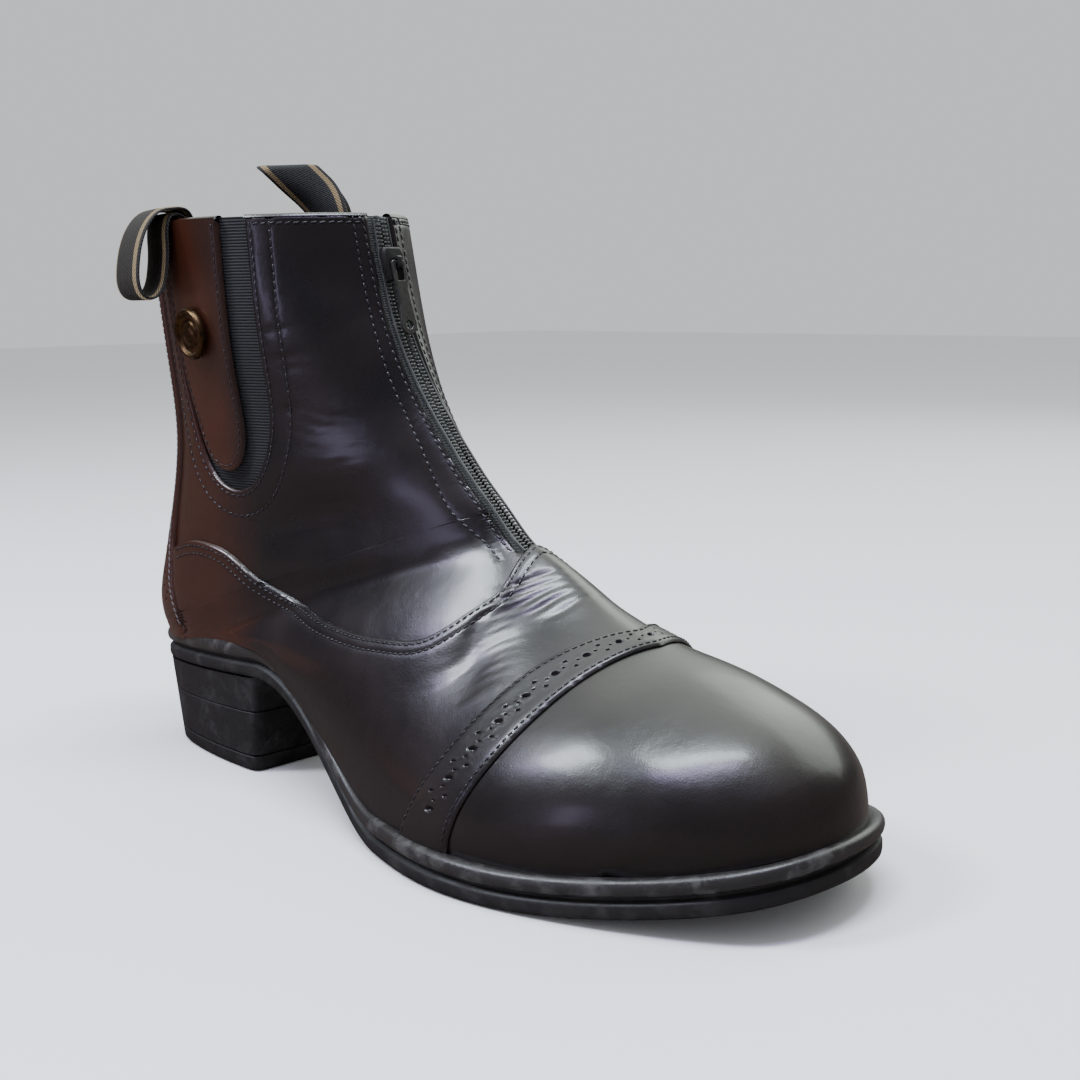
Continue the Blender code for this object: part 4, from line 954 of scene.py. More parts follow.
def herringbone_effect():
    """Woven tape laid out by the flat map: a ground, two stripes and dark edges in herringbone, with painted
    shade in the weave's troughs.
    """
    sockets = (
        ("Ground", COLOUR, (0.03, 0.03, 0.02, 1)),
        ("Stripe", COLOUR, (0.27, 0.20, 0.10, 1)),
        ("Edge", COLOUR, (0.012, 0.011, 0.010, 1)),
        ("Stripe place", NUMBER, 0.11),
        ("Stripe width", NUMBER, 0.05),
    )
    tree, given, result = effect("Herringbone", sockets, (("Colour", COLOUR), ("Normal", ARROW)))
    layout = node(tree, "ShaderNodeUVMap", uv_map="Flat").outputs["UV"]
    over = node(tree, "ShaderNodeSeparateXYZ", [(0, layout)]).outputs["X"]
    mirrored = maths(tree, "PINGPONG", over, 0.5)
    striped = maths(tree, "COMPARE", mirrored, given["Stripe place"], given["Stripe width"])
    outer = maths(tree, "LESS_THAN", mirrored, given["Stripe place"])
    plain = mixed(tree, outer, given["Ground"], given["Edge"])
    colour = mixed(tree, striped, plain, given["Stripe"])
    stretched = node(tree, "ShaderNodeMapping", [("Vector", layout)], Scale=(2.0, 1.0, 1.0))
    ribs = node(tree, "ShaderNodeTexWave", [("Vector", stretched.outputs[0])],
                bands_direction="DIAGONAL", Scale=5.0, Distortion=0.8, Detail_Scale=4.0)
    tree.links.new(bumped(tree, ribs.outputs["Fac"], 0.00018, 0.8), result["Normal"])
    # The ribs darken the colour in their troughs: painted shade.
    tree.links.new(mixed(tree, 0.55, colour, ribs.outputs["Color"], "MULTIPLY"), result["Colour"])
    return tree


def finished(name, group, values, **constants):
    """A material whose colour, roughness and relief come from an effect."""
    made, tree, bsdf = shader(name, (0.02, 0.02, 0.02), 0.6, **constants)
    inner = tree.nodes.new("ShaderNodeGroup")
    inner.node_tree = group
    for key, value in values.items():
        label = key.replace("_", " ")
        inner.inputs[label].default_value = (*value, 1) if isinstance(value, tuple) else value
    for output, place in (("Colour", "Base Color"), ("Roughness", "Roughness"), ("Normal", "Normal")):
        if output in inner.outputs:
            tree.links.new(inner.outputs[output], bsdf.inputs[place])
    return made


HIDE = hide_effect()
WEAVE = weave_effect()
SCUFF = scuff_effect()
TARNISH = tarnish_effect()
TWIST = thread_effect()
HERRINGBONE = herringbone_effect()
GLOSS = {"Coat_Weight": 0.32, "Coat_Roughness": 0.16, "Specular_IOR_Level": 0.5}
# The brown of thin dye, also used as the colour of the painted warm reflection towards the heel.
RED_BROWN_TONE_AND_REFLECTION = (0.042, 0.0100, 0.0034)


def leather(name, dye, roughness, grain, brown=0.10, heel_reflection=0.75, **gloss):
    """A leather finish from the hide effect."""
    values = {"Dye": dye, "Brown": RED_BROWN_TONE_AND_REFLECTION, "Roughness": roughness, "Grain_depth": grain}
    values["Brown all over"] = brown
    # How strong the painted warm reflection towards the heel is.
    values["Brown at heel"] = heel_reflection
    return finished(name, HIDE, values, **{**GLOSS, **gloss})


BLACK = leather("Black leather", (0.0066, 0.0056, 0.0062), 0.31, 0.00005)
TOE = leather("Toe leather", (0.0066, 0.0058, 0.0056), 0.31, 0.00004, Coat_Weight=0.3)
# Tab and back strip: brown over most of the leather, partly real brown tone and partly a painted warm
# reflection, strongest towards the heel.
BROWN_AND_REFLECTION_LEATHER = leather("Brown leather with painted warm reflection", (0.0100, 0.0062, 0.0050), 0.36, 0.00005, 0.8, 1.0)
STRIP = leather("Strip leather", (0.0064, 0.0055, 0.0056), 0.38, 0.00005)
LINING = leather("Lining leather", (0.030, 0.022, 0.016), 0.62, 0.00008, 0.3, 0.2, Coat_Weight=0.0)
THREAD = finished("Black thread", TWIST, {"Thread": (0.021, 0.019, 0.023)}, Roughness=0.34)
PALE_THREAD = finished("Grey thread", TWIST, {"Thread": (0.110, 0.100, 0.110)}, Roughness=0.5)


def web(name, yarn, ribs, depth, sheen, roughness):
    """A ribbed textile finish."""
    values = {"Yarn": yarn, "Ribs": ribs, "Rib_depth": depth}
    return finished(name, WEAVE, values, Sheen_Weight=sheen, Roughness=roughness)


def rubber(name, colour, worn, roughness, tooth):
    """A moulded finish with scuffs."""
    values = {"Rubber": colour, "Worn": worn, "Roughness": roughness, "Tooth_depth": tooth}
    return finished(name, SCUFF, values)


def metal(name, bright, tarnish, metallic):
    """A metal finish that has dulled in patches."""
    values = {"Metal": bright, "Tarnish": tarnish, "Roughness": 0.30}
    return finished(name, TARNISH, values, Metallic=metallic)


def webbing(name, ground):
    """Herringbone tape with two beige stripes."""
    values = {"Ground": ground, "Stripe": (0.23, 0.165, 0.080)}
    return finished(name, HERRINGBONE, values, Roughness=0.85)


ELASTIC_WEB = web("Elastic", (0.0075, 0.0078, 0.0094), 330.0, 0.00022, 0.02, 0.8)
TAPE_WEB = web("Zip tape", (0.054, 0.058, 0.056), 420.0, 0.00016, 0.05, 0.75)
# The welt's pale worn patches are partly real wear and partly a painted sheen standing in for the light along
# its bead.
WELT_RUBBER_WEAR_AND_SHEEN = rubber("Welt rubber with wear and painted sheen", (0.0170, 0.0155, 0.0150), (0.058, 0.055, 0.053), 0.36, 0.00010)
SOLE_RUBBER = rubber("Sole rubber", (0.0085, 0.0080, 0.0080), (0.020, 0.018, 0.017), 0.55, 0.00014)
TEETH = rubber("Zip teeth", (0.040, 0.043, 0.040), (0.08, 0.083, 0.076), 0.36, 0.00003)
BRASS = metal("Aged brass", (0.17, 0.105, 0.048), (0.060, 0.040, 0.022), 1.0)
ZIP_METAL = metal("Zip slider metal", (0.030, 0.028, 0.028), (0.016, 0.015, 0.015), 0.6)
PULLER_METAL = metal("Zip puller metal", (0.13, 0.13, 0.12), (0.06, 0.06, 0.055), 0.9)
WEBBING_OUTER = webbing("Olive webbing", (0.019, 0.0145, 0.0085))
WEBBING_INNER = webbing("Black webbing", (0.012, 0.012, 0.013))

# The lines of the panels: the elastics' openings, the outer tab, the strip up the back, the vamp's seam, the
# brogued strip's two edges and the stitches beside the zip
GUSSET = (
    Mark(0.000, 0.317),
    Mark(0.075, 0.335),
    Mark(0.155, 0.360),
    Mark(0.230, 0.400),
    Mark(0.268, 0.445),
    Mark(0.282, 0.508),
    Mark(0.262, 0.580),
    Mark(0.220, 0.640),
    Mark(0.140, 0.672),
    Mark(0.060, 0.655),
    Mark(0.000, 0.633),
)
TAB = (
    Mark(0.000, 0.392),
    Mark(0.100, 0.422),
    Mark(0.190, 0.458),
    Mark(0.235, 0.474),
    Mark(0.254, 0.500),
    Mark(0.257, 0.540),
    Mark(0.240, 0.592),
    Mark(0.200, 0.632),
    Mark(0.130, 0.650),
    Mark(0.000, 0.615),
)
BACK_EDGE = (
    Mark(0.0000, 0.740),
    Mark(0.1000, 0.752),
    Mark(0.2000, 0.776),
    Mark(0.2600, 0.790),
    Mark(0.3172, 0.779),
    Mark(0.3397, 0.768),
    Mark(0.3642, 0.760),
    Mark(0.3785, 0.758),
    Mark(0.4090, 1.000),
)
VAMP_SEAM = (
    Mark(0.4750, 0.000),
    Mark(0.5050, 0.060),
    Mark(0.5430, 0.130),
    Mark(0.5640, 0.180),
    Mark(0.5770, 0.250),
    Mark(0.5910, 0.358),
    Mark(0.5965, 0.452),
    Mark(0.5747, 0.558),
    Mark(0.5554, 0.616),
    Mark(0.5271, 0.664),
    Mark(0.4813, 0.686),
    Mark(0.4379, 0.652),
    Mark(0.4113, 0.608),
    Mark(0.3980, 0.569),
    Mark(0.3846, 0.507),
    Mark(0.3632, 0.539),
    Mark(0.3443, 0.580),
    Mark(0.3282, 0.639),
    Mark(0.3216, 0.692),
    Mark(0.3216, 0.745),
    Mark(0.3230, 0.785),
)
STRIP_REAR = (
    Mark(0.735, 0.000),
    Mark(0.717, 0.150),
    Mark(0.714, 0.300),
    Mark(0.724, 0.480),
    Mark(0.737, 0.660),
    Mark(0.748, 0.840),
    Mark(0.758, 1.000),
)
STRIP_FRONT = (
    Mark(0.789, 0.000),
    Mark(0.781, 0.150),
    Mark(0.782, 0.330),
    Mark(0.790, 0.520),
    Mark(0.797, 0.700),
    Mark(0.803, 0.850),
    Mark(0.812, 1.000),
)
ZIP_ROW = (
    Mark(0.000, 0.068),
    Mark(0.060, 0.070),
    Mark(0.120, 0.070),
    Mark(0.180, 0.074),
    Mark(0.230, 0.073),
    Mark(0.300, 0.072),
    Mark(0.380, 0.077),
    Mark(0.440, 0.086),
    Mark(0.490, 0.100),
)

# Where the zip ends down the crest, and the steps of the pinholes
ZIP_END = 0.485
BROGUE_PITCH = 0.0098
BACK_PITCH = 0.0023


def zip_edge(side, width, start=0.0, end=ZIP_END):
    """Marks beside the crest at half a width."""
    stations = np.linspace(start, end, 60)
    return np.array([(station, LAST.share(station, width / 2, side)) for station in stations])


def gusset_edge(side, inset=0.0):
    """The elastic opening's edge, moved into the opening by an inset."""
    line = trace(GUSSET, side, 121)
    return moved_line(line, side * inset) if inset else line


def stitch_rows():
    """Every row of stitches on each panel, as lines of marks."""
    rows = {}
    rows["quarters"] = []
    for side in (-1, 1):
        line = gusset_edge(side)
        rows["quarters"] += [moved_line(line, -side * away)[1:-1] for away in (0.0020, 0.0088)]
        rows["quarters"].append(zip_edge(side, ZIP_OPENING + 0.0040, 0.002, 0.475))
        rows["quarters"].append(trace(ZIP_ROW, side, 80))
    for start, end in ((-0.05, -0.30), (0.05, 0.30), (-0.65, -0.99), (0.65, 0.99)):
        rows["quarters"].append(line_between((0.0075, start), (0.0075, end), 60))
    seam = across(VAMP_SEAM, 170)
    rows["vamp"] = [moved_line(seam, -away)[5:-5] for away in (0.0018, 0.0046)]
    rear = across(STRIP_REAR, 90)
    front = across(STRIP_FRONT, 90)
    rows["strip"] = [moved_line(rear, -0.0016)[2:-2], moved_line(front, 0.0016)[2:-2]]
    rows["tab"] = [moved_line(trace(TAB, -1, 111), -0.0018)[1:-1]]
    rows["back"] = [moved_line(trace(BACK_EDGE, side, 90), side * 0.0017)[1:-2] for side in (-1, 1)]
    return rows


def quarters(rows):
    """The shaft: one sheet with its zip slot and elastic openings, and its lining."""
    lateral = gusset_edge(-1)
    medial = gusset_edge(1)
    near = zip_edge(-1, ZIP_OPENING)
    far = zip_edge(1, ZIP_OPENING)
    foot = 0.66
    lateral_foot = line_between((0, -1), (foot, -1), 160)
    medial_foot = line_between((foot, 1), (0, 1), 160)
    lateral[[0, -1], 0] = medial[[0, -1], 0] = 0
    toe_edge = line_between((foot, -1), (foot, 1), 120)
    outline = np.vstack([lateral_foot, toe_edge, medial_foot, medial[::-1], far, near[::-1], lateral])

    def unrolled(marks):
        return np.where((np.abs(marks[:, 1]) > 0.97) | (marks[:, 0] > foot - 0.01), 1.0, 0.0)

    shaft = sheet("quarters", outline, BLACK, -UPPER_WALL, 0.0, roll=0.0011, step=0.0016,
                  rolled=unrolled, rows=rows["quarters"])
    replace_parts(shaft, "upper")
    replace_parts(lining(), "upper")


def lining():
    """The lining inside the whole boot, as an even grid that is open along the zip."""
    stations = np.linspace(0, 0.985, 110)
    girths = np.linspace(-1, 1, 91)
    marks = np.array([(s, g) for s in stations for g in girths])
    points = on_last(marks, np.full(len(marks), -UPPER_WALL - ELASTIC - 3 * GAP))
    width = len(girths)
    faces = []
    for i, station in enumerate(stations[:-1]):
        slot = LAST.share(station, 0.0045, 1) if station < ZIP_END - 0.02 else 0.0
        for k in range(width - 1):
            if abs(girths[k] + girths[k + 1]) / 2 < slot:
                continue
            a = i * width + k
            faces.append((a, a + 1, a + width + 1, a + width))
    return mesh_piece("lining", points, faces, LINING)


def collar():
    """The turned edge along the collar: from each zip placket back to its elastic, and across the back."""
    slot = LAST.share(0, ZIP_OPENING / 2, 1)
    runs = (
        (-slot, -0.317, 30),
        (slot, 0.317, 30),
        (-0.633, -1.0, 30),
        (0.633, 1.0, 30),
        (-0.392, -0.615, 20),
    )
    thick = UPPER_WALL + ELASTIC + 2 * GAP
    points, faces = [], []
    for start, end, count in runs:
        first = len(points)
        for g in np.linspace(start, end, count):
            here = LAST.read(LAST.points, [(0.0, g)])[0] - MIDDLE
            out = normed(LAST.read(LAST.outward, [(0.0, g)])[0] * (1, 1, 0))
            for turn in np.linspace(0, math.pi, 7):
                side = math.cos(turn) * thick / 2 - thick / 2
                points.append(here + out * side + np.array([0, 0, math.sin(turn) * 0.0011 - 0.0004]))
        for i in range(count - 1):
            for k in range(6):
                a = first + i * 7 + k
                faces.append((a, a + 1, a + 8, a + 7) if end > start else (a, a + 7, a + 8, a + 1))
    mesh_piece("collar_edge", points, faces, BLACK)


def elastics(rows):
    """The gussets' elastic, and the leather tab down the outer one."""
    for side, name in ((-1, "lateral"), (1, "medial")):
        edge = gusset_edge(side, -0.003)
        edge[[0, -1], 0] = 0
        level = -UPPER_WALL - GAP
        piece = sheet("elastic_web_" + name, edge, ELASTIC_WEB, level, level, step=0.0028)
        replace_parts(piece, "elastic_" + name)
    tab = trace(TAB, -1, 111)
    tab[[0, -1], 0] = 0

    def unrolled(marks):
        return np.where(marks[:, 0] < 0.004, 1.0, 0.0)

    piece = sheet("side_tab", tab, BROWN_AND_REFLECTION_LEATHER, -UPPER_WALL, TAB_LIFT, roll=0.0010, step=0.0018,
                  rolled=unrolled, rows=rows["tab"])
    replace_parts(piece, "leather_tab")


def sewn_panels(rows):
    """Vamp, toe cap, the brogued strip and the strip up the back."""
    rear = across(STRIP_REAR, 90)
    front = across(STRIP_FRONT, 90)
    joint = (rear + front) / 2
    seam = across(VAMP_SEAM, 170)
    back = {side: trace(BACK_EDGE, side, 110) for side in (-1, 1)}
    below = {side: back[side][back[side][:, 0] > VAMP_SEAM[-1].station + 0.002] for side in (-1, 1)}
    corner = BACK_EDGE[-1].station
    medial_edge = line_between((corner, 1), (joint[-1, 0], 1), 90)
    lateral_edge = line_between((joint[0, 0], -1), (corner, -1), 90)
    outline = np.vstack([seam, below[1], medial_edge, joint[::-1], lateral_edge, below[-1][::-1]])

    def tucked(marks):
        ahead = np.interp(marks[:, 1], joint[:, 1], joint[:, 0])
        hidden = (np.abs(marks[:, 1]) > 0.975) | (marks[:, 0] > ahead - 0.010)
        return np.where(hidden, 1.0, 0.0)

    vamp = sheet("vamp_leather", outline, BLACK, HIDDEN_EDGE, SEWN_LIFT, roll=0.0012, step=0.0015,
                 rolled=tucked, rows=rows["vamp"])
    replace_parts(vamp, "vamp")
    toe_side = np.linspace(0, 1, 60)[:, None]
    medial_end = joint[-1] * (1 - toe_side) + np.array([1.0, 1.0]) * toe_side
    lateral_end = np.array([1.0, -1.0]) * (1 - toe_side) + joint[0] * toe_side
    tip = line_between((1, 1), (1, -1), 160)
    toe = np.vstack([joint, medial_end, tip, lateral_end])
    cap = sheet("toe_leather", toe, TOE, SEWN_LIFT, SEWN_LIFT, step=0.0020)
    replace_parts(cap, "toe_cap")

    def run_under(marks):
        return np.where(np.abs(marks[:, 1]) > 0.985, 1.0, 0.0)

    outline = np.vstack([rear, front[::-1]])
    strip = sheet("brogued_strip", outline, STRIP, SEWN_LIFT + 0.0001, STRIP_LIFT, roll=0.0021, step=0.0014,
                  holes=brogue_holes(rear, front), dent=0.0008, rolled=run_under, rows=rows["strip"])
    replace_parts(strip, "toe_strip")

    def closed(marks):
        return np.where((np.abs(marks[:, 1]) > 0.975) | (marks[:, 0] < 0.003), 1.0, 0.0)

    for side, name, row in ((-1, "lateral", rows["back"][0]), (1, "medial", rows["back"][1])):
        lower = line_between((corner, side), (0, side), 120)
        outline = np.vstack([back[side], lower[1:]])
        half = sheet("back_strip_" + name, outline, BROWN_AND_REFLECTION_LEATHER, HIDDEN_EDGE, BACK_LIFT, roll=0.0011, step=0.0017,
                     holes=back_holes(back[side], side), rolled=closed, rows=[row])
        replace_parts(half, "back_strip")


def back_holes(edge, side):
    """Two staggered lines of pinholes behind the back strip's stitches."""
    holes = []
    for away, start in ((0.0048, 0), (0.0072, 1)):
        line = evenly(moved_line(edge, side * away)[2:-6], BACK_PITCH)[1 + start : -2 : 2]
        holes += [Hole(mark[0], mark[1], 0.00055) for mark in line if abs(mark[1]) < 0.97]
    return holes


def brogue_holes(rear, front):
    """Large holes down the strip's middle with pairs of small ones between them."""
    middle = (rear + front) / 2
    places = LAST.read(LAST.points, middle)
    run = run_along(places)
    count = int((run[-1] - 0.006) / BROGUE_PITCH)
    offset = (run[-1] - (count - 1) * BROGUE_PITCH) / 2
    kinds = (
        (0.0, (0.0,), 0.00135),
        (0.5, (-0.0022, 0.0022), 0.00070),
        (0.27, (0.0,), 0.00050),
        (0.73, (0.0,), 0.00050),
    )
    holes = []
    for n in range(count):
        for ahead, sides, radius in kinds:
            where = offset + (n + ahead) * BROGUE_PITCH
            if where > run[-1] - 0.003:
                continue
            station = np.interp(where, run, middle[:, 0])
            girth = np.interp(where, run, middle[:, 1])
            holes += [Hole(station + side / LAST.scale[0], girth, radius) for side in sides]
    return holes


# Rows of stitches: the rows' name, lift, thread, pitch, length and width of a stitch, and its slant
Sewing = namedtuple("Sewing", "rows lift thread pitch length width slant")
SEWINGS = {
    "shaft_stitches": Sewing("quarters", 0.0, THREAD, 0.0026, 0.0020, 0.00072, 0.16),
    "vamp_stitches": Sewing("vamp", SEWN_LIFT, THREAD, 0.0023, 0.0017, 0.00070, 0.12),
    "toe_stitches": Sewing("strip", STRIP_LIFT, THREAD, 0.0022, 0.0016, 0.00062, 0.0),
    "tab_stitches": Sewing("tab", TAB_LIFT, THREAD, 0.0026, 0.0019, 0.00056, 0.0),
    "back_stitches": Sewing("back", BACK_LIFT + THREAD_PRESS, PALE_THREAD, 0.0022, 0.0022, 0.00070, 0.5),
}

# Half sizes of a zip tooth, and how far the teeth and the stiff cord lie from the zip's middle
TOOTH = (0.00125, 0.00046, 0.00056)
TOOTH_PITCH = 0.00125
TOOTH_APART = 0.00128
TOOTH_STAGGER = 0.00031
CORD_APART = 0.0028
CORD_WIDE = 0.00040
CORD_TALL = 0.00050


def zip_fastener():
    """The zip's tapes with the stiff cord along each, and its meshed teeth."""
    end = ZIP_END + 0.010
    tape = np.vstack([zip_edge(-1, TAPE_WIDTH, 0, end), zip_edge(1, TAPE_WIDTH, 0, end)[::-1]])
    level = -UPPER_WALL - GAP
    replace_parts(sheet("zip_tapes", tape, TAPE_WEB, level, level, step=0.0028), "zip_tape")
    crest = line_between((0.002, 0), (ZIP_END - 0.006, 0), 400)
    marks = evenly(crest, TOOTH_PITCH)
    places = on_last(marks, -UPPER_WALL + 0.0007)
    out = outward_at(marks)
    run = normed(np.gradient(places, axis=0))
    shape = capsule(4, 6)
    points, faces = [], []
    for here, ahead, up in zip(places, run, out):
        side = np.cross(up, ahead)
        for sign in (-1, 1):
            middle = here + side * sign * TOOTH_APART + ahead * sign * TOOTH_STAGGER
            add_capsule(points, faces, shape, middle, (side, ahead, up), TOOTH)
    for sign in (-1, 1):
        first = len(points)
        for here, ahead, up in zip(places, run, out):
            side = np.cross(up, ahead)
            for turn in np.linspace(0, 2 * math.pi, 6, endpoint=False):
                aside = sign * CORD_APART + CORD_WIDE * math.cos(turn)
                points.append(here + side * aside + up * CORD_TALL * math.sin(turn))
        faces += ring_faces(len(places), 6, first)
    teeth = mesh_piece("zip_teeth", points, faces, TEETH, 50)
    outwards(teeth.data)
    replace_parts(teeth, "zip_chain")


def closed_piece(name, rings, faces, finish, sharp):
    """A closed body from rings of points and faces, with its sharp edges kept."""
    piece = mesh_piece(name, np.vstack(rings), faces, finish)
    outwards(piece.data)
    piece.data.set_sharp_from_angle(angle=math.radians(sharp))
    return piece


def sole_layer(name, side, under, thickness, finish, as_ring=False):
    """A layer of the sole through rings (inset, share of its thickness), solid or open in the middle."""
    rings = []
    for inset, rise in side:
        plan = sole_plan(inset)
        rings.append(np.c_[plan, under(plan[:, 0]) + rise * thickness] - MIDDLE)
    size = len(rings[0])
    faces = ring_faces(len(rings), size)
    bottom = (len(rings) - 1) * size
    if as_ring:
        faces += [(bottom + k, bottom + (k + 1) % size, (k + 1) % size, k) for k in range(size)]
    else:
        half = size // 2
        caps = [(0, 1, size - 1)] + [(k, k + 1, size - k - 1, size - k) for k in range(1, half - 1)]
        caps.append((half - 1, half, half + 1))
        faces += [face[::-1] for face in caps] + [tuple(k + bottom for k in face) for face in caps]
    return closed_piece(name, rings, faces, finish, 40)


def outwards(mesh):
    """Turns a closed mesh's faces to point out."""
    work = bmesh.new()
    work.from_mesh(mesh)
    bmesh.ops.recalc_face_normals(work, faces=work.faces)
    work.to_mesh(mesh)
    work.free()


def on_sole(x):
    """Height of the undersides of the welt and the insole."""
    return sole_top(x) + GAP


# Profiles of the outsole, the welt and the insole: metres in from the sole's edge, and the height as a share
# of the layer's thickness
PLATE_SIDE = (
    (0.0022, 1.0),
    (0.0022, 0.86),
    (0.0016, 0.78),
    (0.0009, 0.72),
    (0.0006, 0.62),
    (0.0006, 0.30),
    (0.0008, 0.16),
    (0.0014, 0.06),
    (0.0024, 0.0),
)
WELT_SIDE = (
    (0.0016, -0.06),
    (0.0007, 0.04),
    (0.0002, 0.20),
    (0.0, 0.40),
    (0.00005, 0.60),
    (0.0004, 0.78),
    (0.0011, 0.93),
    (0.0020, 1.0),
    (0.0032, 1.0),
    (0.0040, 0.93),
    (WELT_WIDTH, 0.93),
    (WELT_WIDTH, 0.0),
)
SOCK_SIDE = (
    (WELT_WIDTH + CUT_GAP + 0.0016, 1.0),
    (WELT_WIDTH + CUT_GAP + 0.0006, 0.93),
    (WELT_WIDTH + CUT_GAP, 0.7),
    (WELT_WIDTH + CUT_GAP, 0.0),
)


def sole():
    """Insole, outsole, welt and heel with rounded edges."""
    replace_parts(sole_layer("sock", SOCK_SIDE, on_sole, INSOLE, LINING), "insole")
    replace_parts(sole_layer("sole_plate", PLATE_SIDE, underside, OUTSOLE, SOLE_RUBBER), "outsole")
    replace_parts(sole_layer("welt_rib", WELT_SIDE, on_sole, WELT, WELT_RUBBER_WEAR_AND_SHEEN, True), "welt")
    heel()


def heel_plan(depth, inset=0.0):
    """The heel's outline at a depth share, from the seat (0) to the floor (1)."""
    plan = sole_plan(0.0012 + inset)
    half = len(plan) // 2
    lateral = plan[: half + 1]
    lateral = lateral[lateral[:, 0] < HEEL_LENGTH - 0.004 - inset]
    medial = plan[half:][plan[half:, 0] < HEEL_LENGTH - 0.004 - inset]
    front = []
    corner = 0.0045
    quarter = np.linspace(0, math.pi / 2, 6)
    for side, width, turns in ((1, lateral[-1, 1], quarter), (-1, medial[0, 1], quarter[::-1])):
        for turn in turns:
            x = HEEL_LENGTH - inset - corner * 0.6 * (1 - math.sin(turn))
            front.append((x, width * 0.985 + side * corner * (1 - math.cos(turn))))
    outline = np.vstack([lateral, front, medial])
    shorter = (HEEL_PITCH + BREAST_SLOPE) / HEEL_LENGTH
    x = HEEL_PITCH * depth + outline[:, 0] * (1 - shorter * depth)
    return np.stack([x, outline[:, 1] * (1 - 0.07 * depth)], 1)


def heel():
    """The heel block with its faint moulded line, and the worn top piece."""
    joint = 1 - TOP_PIECE / HEEL_HEIGHT

    def seat(x):
        return HEEL_HEIGHT + SEAT_RISE * x / (ARCH_START * SOLE_LENGTH) - GAP

    def stack(name, levels, node_name):
        rings = []
        for depth, inset in levels:
            plan = heel_plan(depth, inset)
            z = seat(plan[:, 0]) * (1 - depth)
            rings.append(np.c_[plan, z] - MIDDLE)
        size = len(rings[0])
        bottom = (len(rings) - 1) * size
        faces = ring_faces(len(rings), size)
        faces += [tuple(range(size))[::-1], tuple(k + bottom for k in range(size))]
        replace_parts(closed_piece(name, rings, faces, SOLE_RUBBER, 45), node_name)

    line = 0.36
    block = [(0.0, 0.0), (line - 0.012, 0.0), (line, 0.0005), (line + 0.012, 0.0)]
    block += [(joint - 0.014, 0.0), (joint, 0.0006)]
    stack("heel_stack", block, "heel_block")
    foot = [(joint, 0.0006), (joint + 0.014, 0.0), (0.955, 0.0), (0.985, 0.0005), (1.0, 0.0014)]
    stack("heel_foot", foot, "heel_top_piece")


def bevelled(name, node_name, width, finish, body="boot"):
    """A copy of a CAD piece with its edges rounded and a better material."""
    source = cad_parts[node_name]
    mesh = source.data.copy()
    work = bmesh.new()
    work.from_mesh(mesh)
    bmesh.ops.remove_doubles(work, verts=work.verts, dist=0.00002)
    bmesh.ops.dissolve_limit(work, angle_limit=math.radians(2), verts=work.verts, edges=work.edges)
    work.to_mesh(mesh)
    work.free()
    piece = dressed(name, mesh, finish, body=body)
    round_edge = piece.modifiers.new("Round", "BEVEL")
    round_edge.width = width
    round_edge.segments = 3
    round_edge.limit_method = "ANGLE"
    round_edge.angle_limit = math.radians(32)
    round_edge.harden_normals = False
    piece.data.set_sharp_from_angle(angle=math.radians(60))
    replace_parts(piece, node_name)
    return piece


# The button's profile, as shares of its radius and height
Turn = namedtuple("Turn", "radius height")
BUTTON_TURNS = (
    Turn(0.48, 0.00),
    Turn(0.48, 0.22),
    Turn(0.90, 0.25),
    Turn(0.97, 0.32),
    Turn(1.00, 0.45),
    Turn(1.00, 0.68),
    Turn(0.985, 0.82),
    Turn(0.945, 0.94),
    Turn(0.89, 1.00),
    Turn(0.83, 0.97),
    Turn(0.79, 0.88),
    Turn(0.76, 0.72),
    Turn(0.72, 0.64),
    Turn(0.62, 0.61),
    Turn(0.54, 0.64),
    Turn(0.51, 0.76),
    Turn(0.46, 0.84),
    Turn(0.41, 0.82),
    Turn(0.37, 0.72),
    Turn(0.32, 0.72),
    Turn(0.27, 0.84),
    Turn(0.18, 0.93),
    Turn(0.06, 0.96),
)


def button():
    """The round button: a turned rim, a dish and a raised middle ring."""
    mark = [(0.112, -0.540)]
    out = outward_at(mark)[0]
    side = normed(np.cross(out, (0, 0, 1)))
    here = LAST.read(LAST.points, mark)[0] + TAB_LIFT * out - MIDDLE
    points = []
    count = 64
    turn = np.linspace(0, 2 * math.pi, count, endpoint=False)[:, None]
    for row in BUTTON_TURNS:
        radius = row.radius * BUTTON_DIAMETER / 2
        ring = here + radius * np.cos(turn) * side + radius * np.sin(turn) * np.cross(out, side)
        points.append(ring + row.height * BUTTON_HEIGHT * out)
    last = (len(points) - 1) * count
    faces = ring_faces(len(points), count)
    faces += [tuple(range(count))[::-1], tuple(k + last for k in range(count))]
    piece = mesh_piece("round_button", np.vstack(points), faces, BRASS)
    outwards(piece.data)
    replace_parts(piece, "button")


def rim_columns(girth, side, count=9):
    """Places across a loop on the collar's outer rim, with directions out from it."""
    per = 1 / float(np.interp(0, LAST.stations, LAST.half_girth[:, 0 if side < 0 else 1]))
    across_loop = np.linspace(-0.5, 0.5, count) * WEBBING_WIDTH
    marks = [(0.0, side * (girth + distance * per)) for distance in across_loop]
    places = LAST.read(LAST.points, marks)
    out = LAST.read(LAST.outward, marks)
    out[:, 2] = 0
    return places - MIDDLE, normed(out), across_loop


def smooth_path(rows, count):
    """A smooth path through listed rows, at even steps."""
    rows = np.array(rows, float)
    run = run_along(rows[:, :2])
    where = np.linspace(0, run[-1], count)
    return np.stack([natural_spline(run, rows[:, k], where) for k in range(rows.shape[1])], 1)


